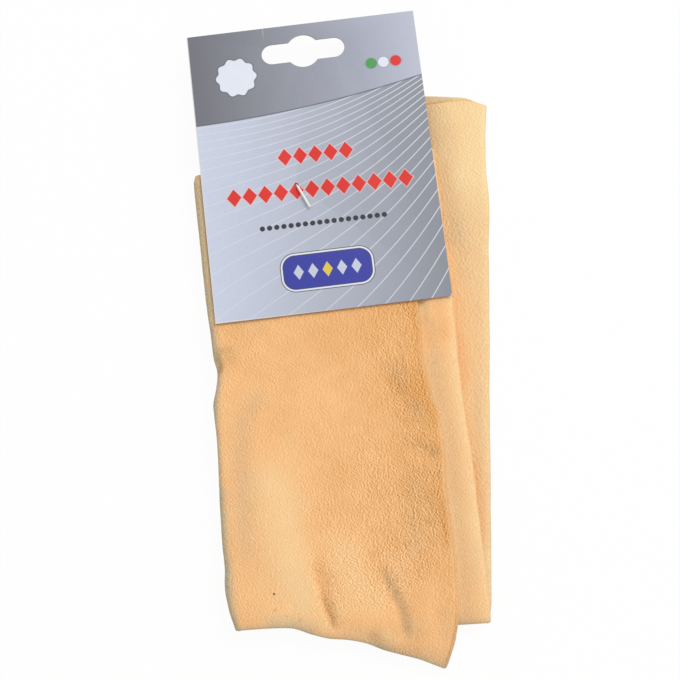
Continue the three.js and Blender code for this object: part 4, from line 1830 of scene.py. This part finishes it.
@dataclass
class TagPin:
    """The tag pin: a cross bar in front of the card, a filament through card and leather, a paddle behind.

    The filament's elbow goes from the run along the card to the drop through it, and is given as (way from
    the pin's axis, depth below the run) in filament diameters.
    """

    filament: float = 0.55
    elbow: Knots = ((2.0, 0.0), (0.35, 0.3), (0.0, 1.6))
    thread_steps: int = 90
    bar_length: float = 9.6
    bar_diameter: float = 0.95
    bar_setback: float = 0.9
    bar_direction: float = math.radians(-67)
    paddle_length: float = 10.0
    paddle_width: float = 3.6
    paddle_thickness: float = 0.8
    paddle_above: float = 0.1
    seat_gap: float = 0.3
    rounding: float = 0.2
    round_steps: int = 5
    sides: int = 28
    sharp_above: float = 50.0

    def circle(self, radius: float) -> tuple[np.ndarray, np.ndarray]:
        """Points round a circle as two coordinates."""
        angle = np.linspace(0, 2 * np.pi, self.sides, endpoint=False)
        return radius * np.cos(angle), radius * np.sin(angle)

    def rounds(self, length: float) -> list[tuple[float, float]]:
        """Rounds both ends of a length.

        Args:
            length: The whole length.

        Returns:
            Place along the length, and how far the section is drawn in there.
        """
        angles = np.linspace(0, np.pi / 2, self.round_steps)
        start = [(self.rounding * (1 - math.sin(a)), self.rounding * (1 - math.cos(a))) for a in angles]
        start = sorted(start)
        return [*start, *((length - along, inset) for along, inset in reversed(start))]

    def bar(self, axis_z: float) -> bpy.types.Object:
        """Makes the cross bar.

        Args:
            axis_z: Height of its axis.

        Returns:
            The bar, as the start of the moulding.
        """
        rings = []
        for along, inset in self.rounds(self.bar_length):
            y, z = self.circle(self.bar_diameter / 2 - inset)
            rings.append(np.stack([np.full(self.sides, self.bar_setback + along), y, axis_z + z], axis=1))
        return loft("tag_pin_moulding", [self.turned(ring) for ring in rings])

    def thread(self, axis_z: float, run_z: float, card_back: float) -> bpy.types.Object:
        """Makes the filament from inside the bar, along the card, and down to the paddle.

        Args:
            axis_z: Height of the bar's axis.
            run_z: Height of the filament's run along the card.
            card_back: Height of the card's back.

        Returns:
            The filament.
        """
        middle, turn = self.bar_setback + self.bar_length / 2, self.filament
        route = np.array(
            [
                (middle, axis_z),
                (middle - turn, run_z),
                *((way * turn, run_z - depth * turn) for way, depth in self.elbow),
                (0.0, card_back),
                (0.0, self.paddle_above + self.paddle_thickness / 2),
            ]
        )
        along = np.concatenate([[0], np.cumsum(np.hypot(*np.diff(route, axis=0).T))])
        at = np.linspace(0, along[-1], self.thread_steps)
        x, z = (through(list(zip(along, part)), at) for part in route.T)
        dx, dz = np.gradient(x), np.gradient(z)
        length = np.hypot(dx, dz)
        side, y = self.circle(self.filament / 2)
        rings = [
            np.stack([x[k] - dz[k] / length[k] * side, -y, z[k] + dx[k] / length[k] * side], axis=1)
            for k in range(len(at))
        ]
        return loft("thread", [self.turned(ring) for ring in rings])

    def paddle(self) -> bpy.types.Object:
        """Makes the flat paddle under the bundle: a circle drawn apart into two half circles.

        Returns:
            The paddle.
        """
        reach = (self.paddle_length - self.paddle_width) / 2
        rings = []
        for along, inset in self.rounds(self.paddle_thickness):
            x, y = self.circle(self.paddle_width / 2 - inset)
            x = x + np.sign(x + TINY) * reach
            rings.append(np.stack([x, y, np.full(self.sides, self.paddle_above + along)], axis=1))
        return loft("paddle", [self.turned(ring) for ring in rings])

    def turned(self, ring: np.ndarray) -> np.ndarray:
        """Turns points about the pin's axis from +X to the bar's direction."""
        c, s = math.cos(self.bar_direction), math.sin(self.bar_direction)
        return ring @ np.array([[c, s, 0], [-s, c, 0], [0, 0, 1]])

    def build(self) -> bpy.types.Object:
        """Makes the pin as one moulding and dresses it.

        Returns:
            The dressed pin.
        """
        card_low, card_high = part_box("header_card")
        run_z = card_high.z / MM + self.seat_gap + self.filament / 2
        axis_z = run_z + self.bar_diameter / 2
        piece = self.bar(axis_z)
        fuse(piece, self.thread(axis_z, run_z, card_low.z / MM))
        fuse(piece, self.paddle())
        soften(piece, self.sharp_above)
        dress(piece, PinFinish().build(), "pin", "tag_pin")
        return piece


# Studio


@dataclass(frozen=True)
class Viewpoint:
    """The camera: what it aims at, from how far, and how it is turned."""

    aim: tuple[float, float, float] = (-7.535, -2.74, 10.7)
    distance: float = 577.65
    elevation: float = math.radians(76.07)
    roll: float = math.radians(-6.85)
    lens: float = 83.38
    sensor: float = 36.0

    def build(self) -> bpy.types.Object:
        """Makes the camera and hands it to the scene.

        Returns:
            The camera.
        """
        back = Vector((0, -math.cos(self.elevation), math.sin(self.elevation)))
        upright = Vector((0, math.sin(self.elevation), math.cos(self.elevation)))
        right = math.cos(self.roll) * Vector((1, 0, 0)) + math.sin(self.roll) * upright
        up = back.cross(right)
        data = bpy.data.cameras.new("viewpoint")
        data.lens = self.lens
        data.sensor_width = self.sensor
        camera = add_object("viewpoint", data)
        place = (Vector(self.aim) + self.distance * back) * MM
        camera.matrix_world = Matrix.Translation(place) @ Matrix((right, up, back)).transposed().to_4x4()
        bpy.context.scene.camera = camera
        return camera


@dataclass(frozen=True)
class Studio:
    """A pale floor, an even white surround and one large soft lamp from the upper right."""

    floor_reach: float = 1500.0
    floor_colour: str = "f6f6f6"
    backdrop_share: float = 0.95
    surround: float = 0.66
    lamp_place: tuple[float, float, float] = (900.0, 700.0, 1500.0)
    lamp_aim: tuple[float, float, float] = (0.0, 0.0, 5.0)
    lamp_size: float = 1000.0
    lamp_power: float = 15.0

    def backdrop_rays(self, bench: Bench) -> Wire:
        """Tells rays that show a background from rays that only light the object.

        Args:
            bench: The bench of the floor or of the surroundings.

        Returns:
            1 for the first kind, and 0 for the second.
        """
        rays = ("Is Camera Ray", "Is Glossy Ray", "Is Transmission Ray")
        first, second, third = (bench.add("ShaderNodeLightPath", {}, {}, ray) for ray in rays)
        return first | second | third

    def floor(self) -> bpy.types.Object:
        """Makes the floor, which keeps the object's shadow.

        Returns:
            The floor.
        """
        bench, material = Bench.for_material("studio_floor")
        plain = bench.add("ShaderNodeBsdfDiffuse", {}, {"Color": self.floor_colour})
        bright = bench.add("ShaderNodeEmission", {}, {"Color": "ffffff", "Strength": 1.0})
        share = self.backdrop_rays(bench) * self.backdrop_share
        bench.end(bench.add("ShaderNodeMixShader", {}, {0: share, 1: plain, 2: bright}))
        reach = self.floor_reach
        corners = np.array([(-reach, -reach, 0), (reach, -reach, 0), (reach, reach, 0), (-reach, reach, 0)])
        made = add_mesh("studio_floor", corners, [[0, 1, 2, 3]])
        made.data.materials.append(material)
        return made

    def surroundings(self) -> None:
        """Lights the scene evenly, and shows white to the camera."""
        world = bpy.data.worlds.new("surround")
        world.use_nodes = True
        bench = Bench(world.node_tree)
        strength = self.surround + (1 - self.surround) * self.backdrop_rays(bench)
        light = bench.add("ShaderNodeBackground", {}, {"Color": "ffffff", "Strength": strength})
        bench.end(light, "ShaderNodeOutputWorld")
        bpy.context.scene.world = world

    def lamp(self) -> bpy.types.Object:
        """Makes the soft lamp.

        Returns:
            The lamp.
        """
        data = bpy.data.lights.new("soft_lamp", "AREA")
        data.shape = "SQUARE"
        data.size = self.lamp_size * MM
        data.energy = self.lamp_power
        made = add_object("soft_lamp", data)
        place, aim = Vector(self.lamp_place) * MM, Vector(self.lamp_aim) * MM
        made.location = place
        made.rotation_euler = (aim - place).to_track_quat("-Z", "Y").to_euler()
        return made

    def build(self) -> None:
        """Sets up the floor, the surroundings, the lamp and plain colours."""
        self.floor()
        self.surroundings()
        self.lamp()
        bpy.context.scene.view_settings.view_transform = "Standard"


def main() -> None:
    """Builds the camera, the studio and the pieces in order."""
    logging.basicConfig(level=logging.INFO, format="%(name)s: %(message)s")
    Viewpoint().build()
    Studio().build()
    builders: Sequence[Callable[[], bpy.types.Object]] = (
        FoldedSkin().build,
        HangingCard().build,
        TagPin().build,
    )
    for build in builders:
        piece = build()
        log.info("%s has %d faces", piece.name, len(piece.data.polygons))


if __name__ == "__main__":
    main()
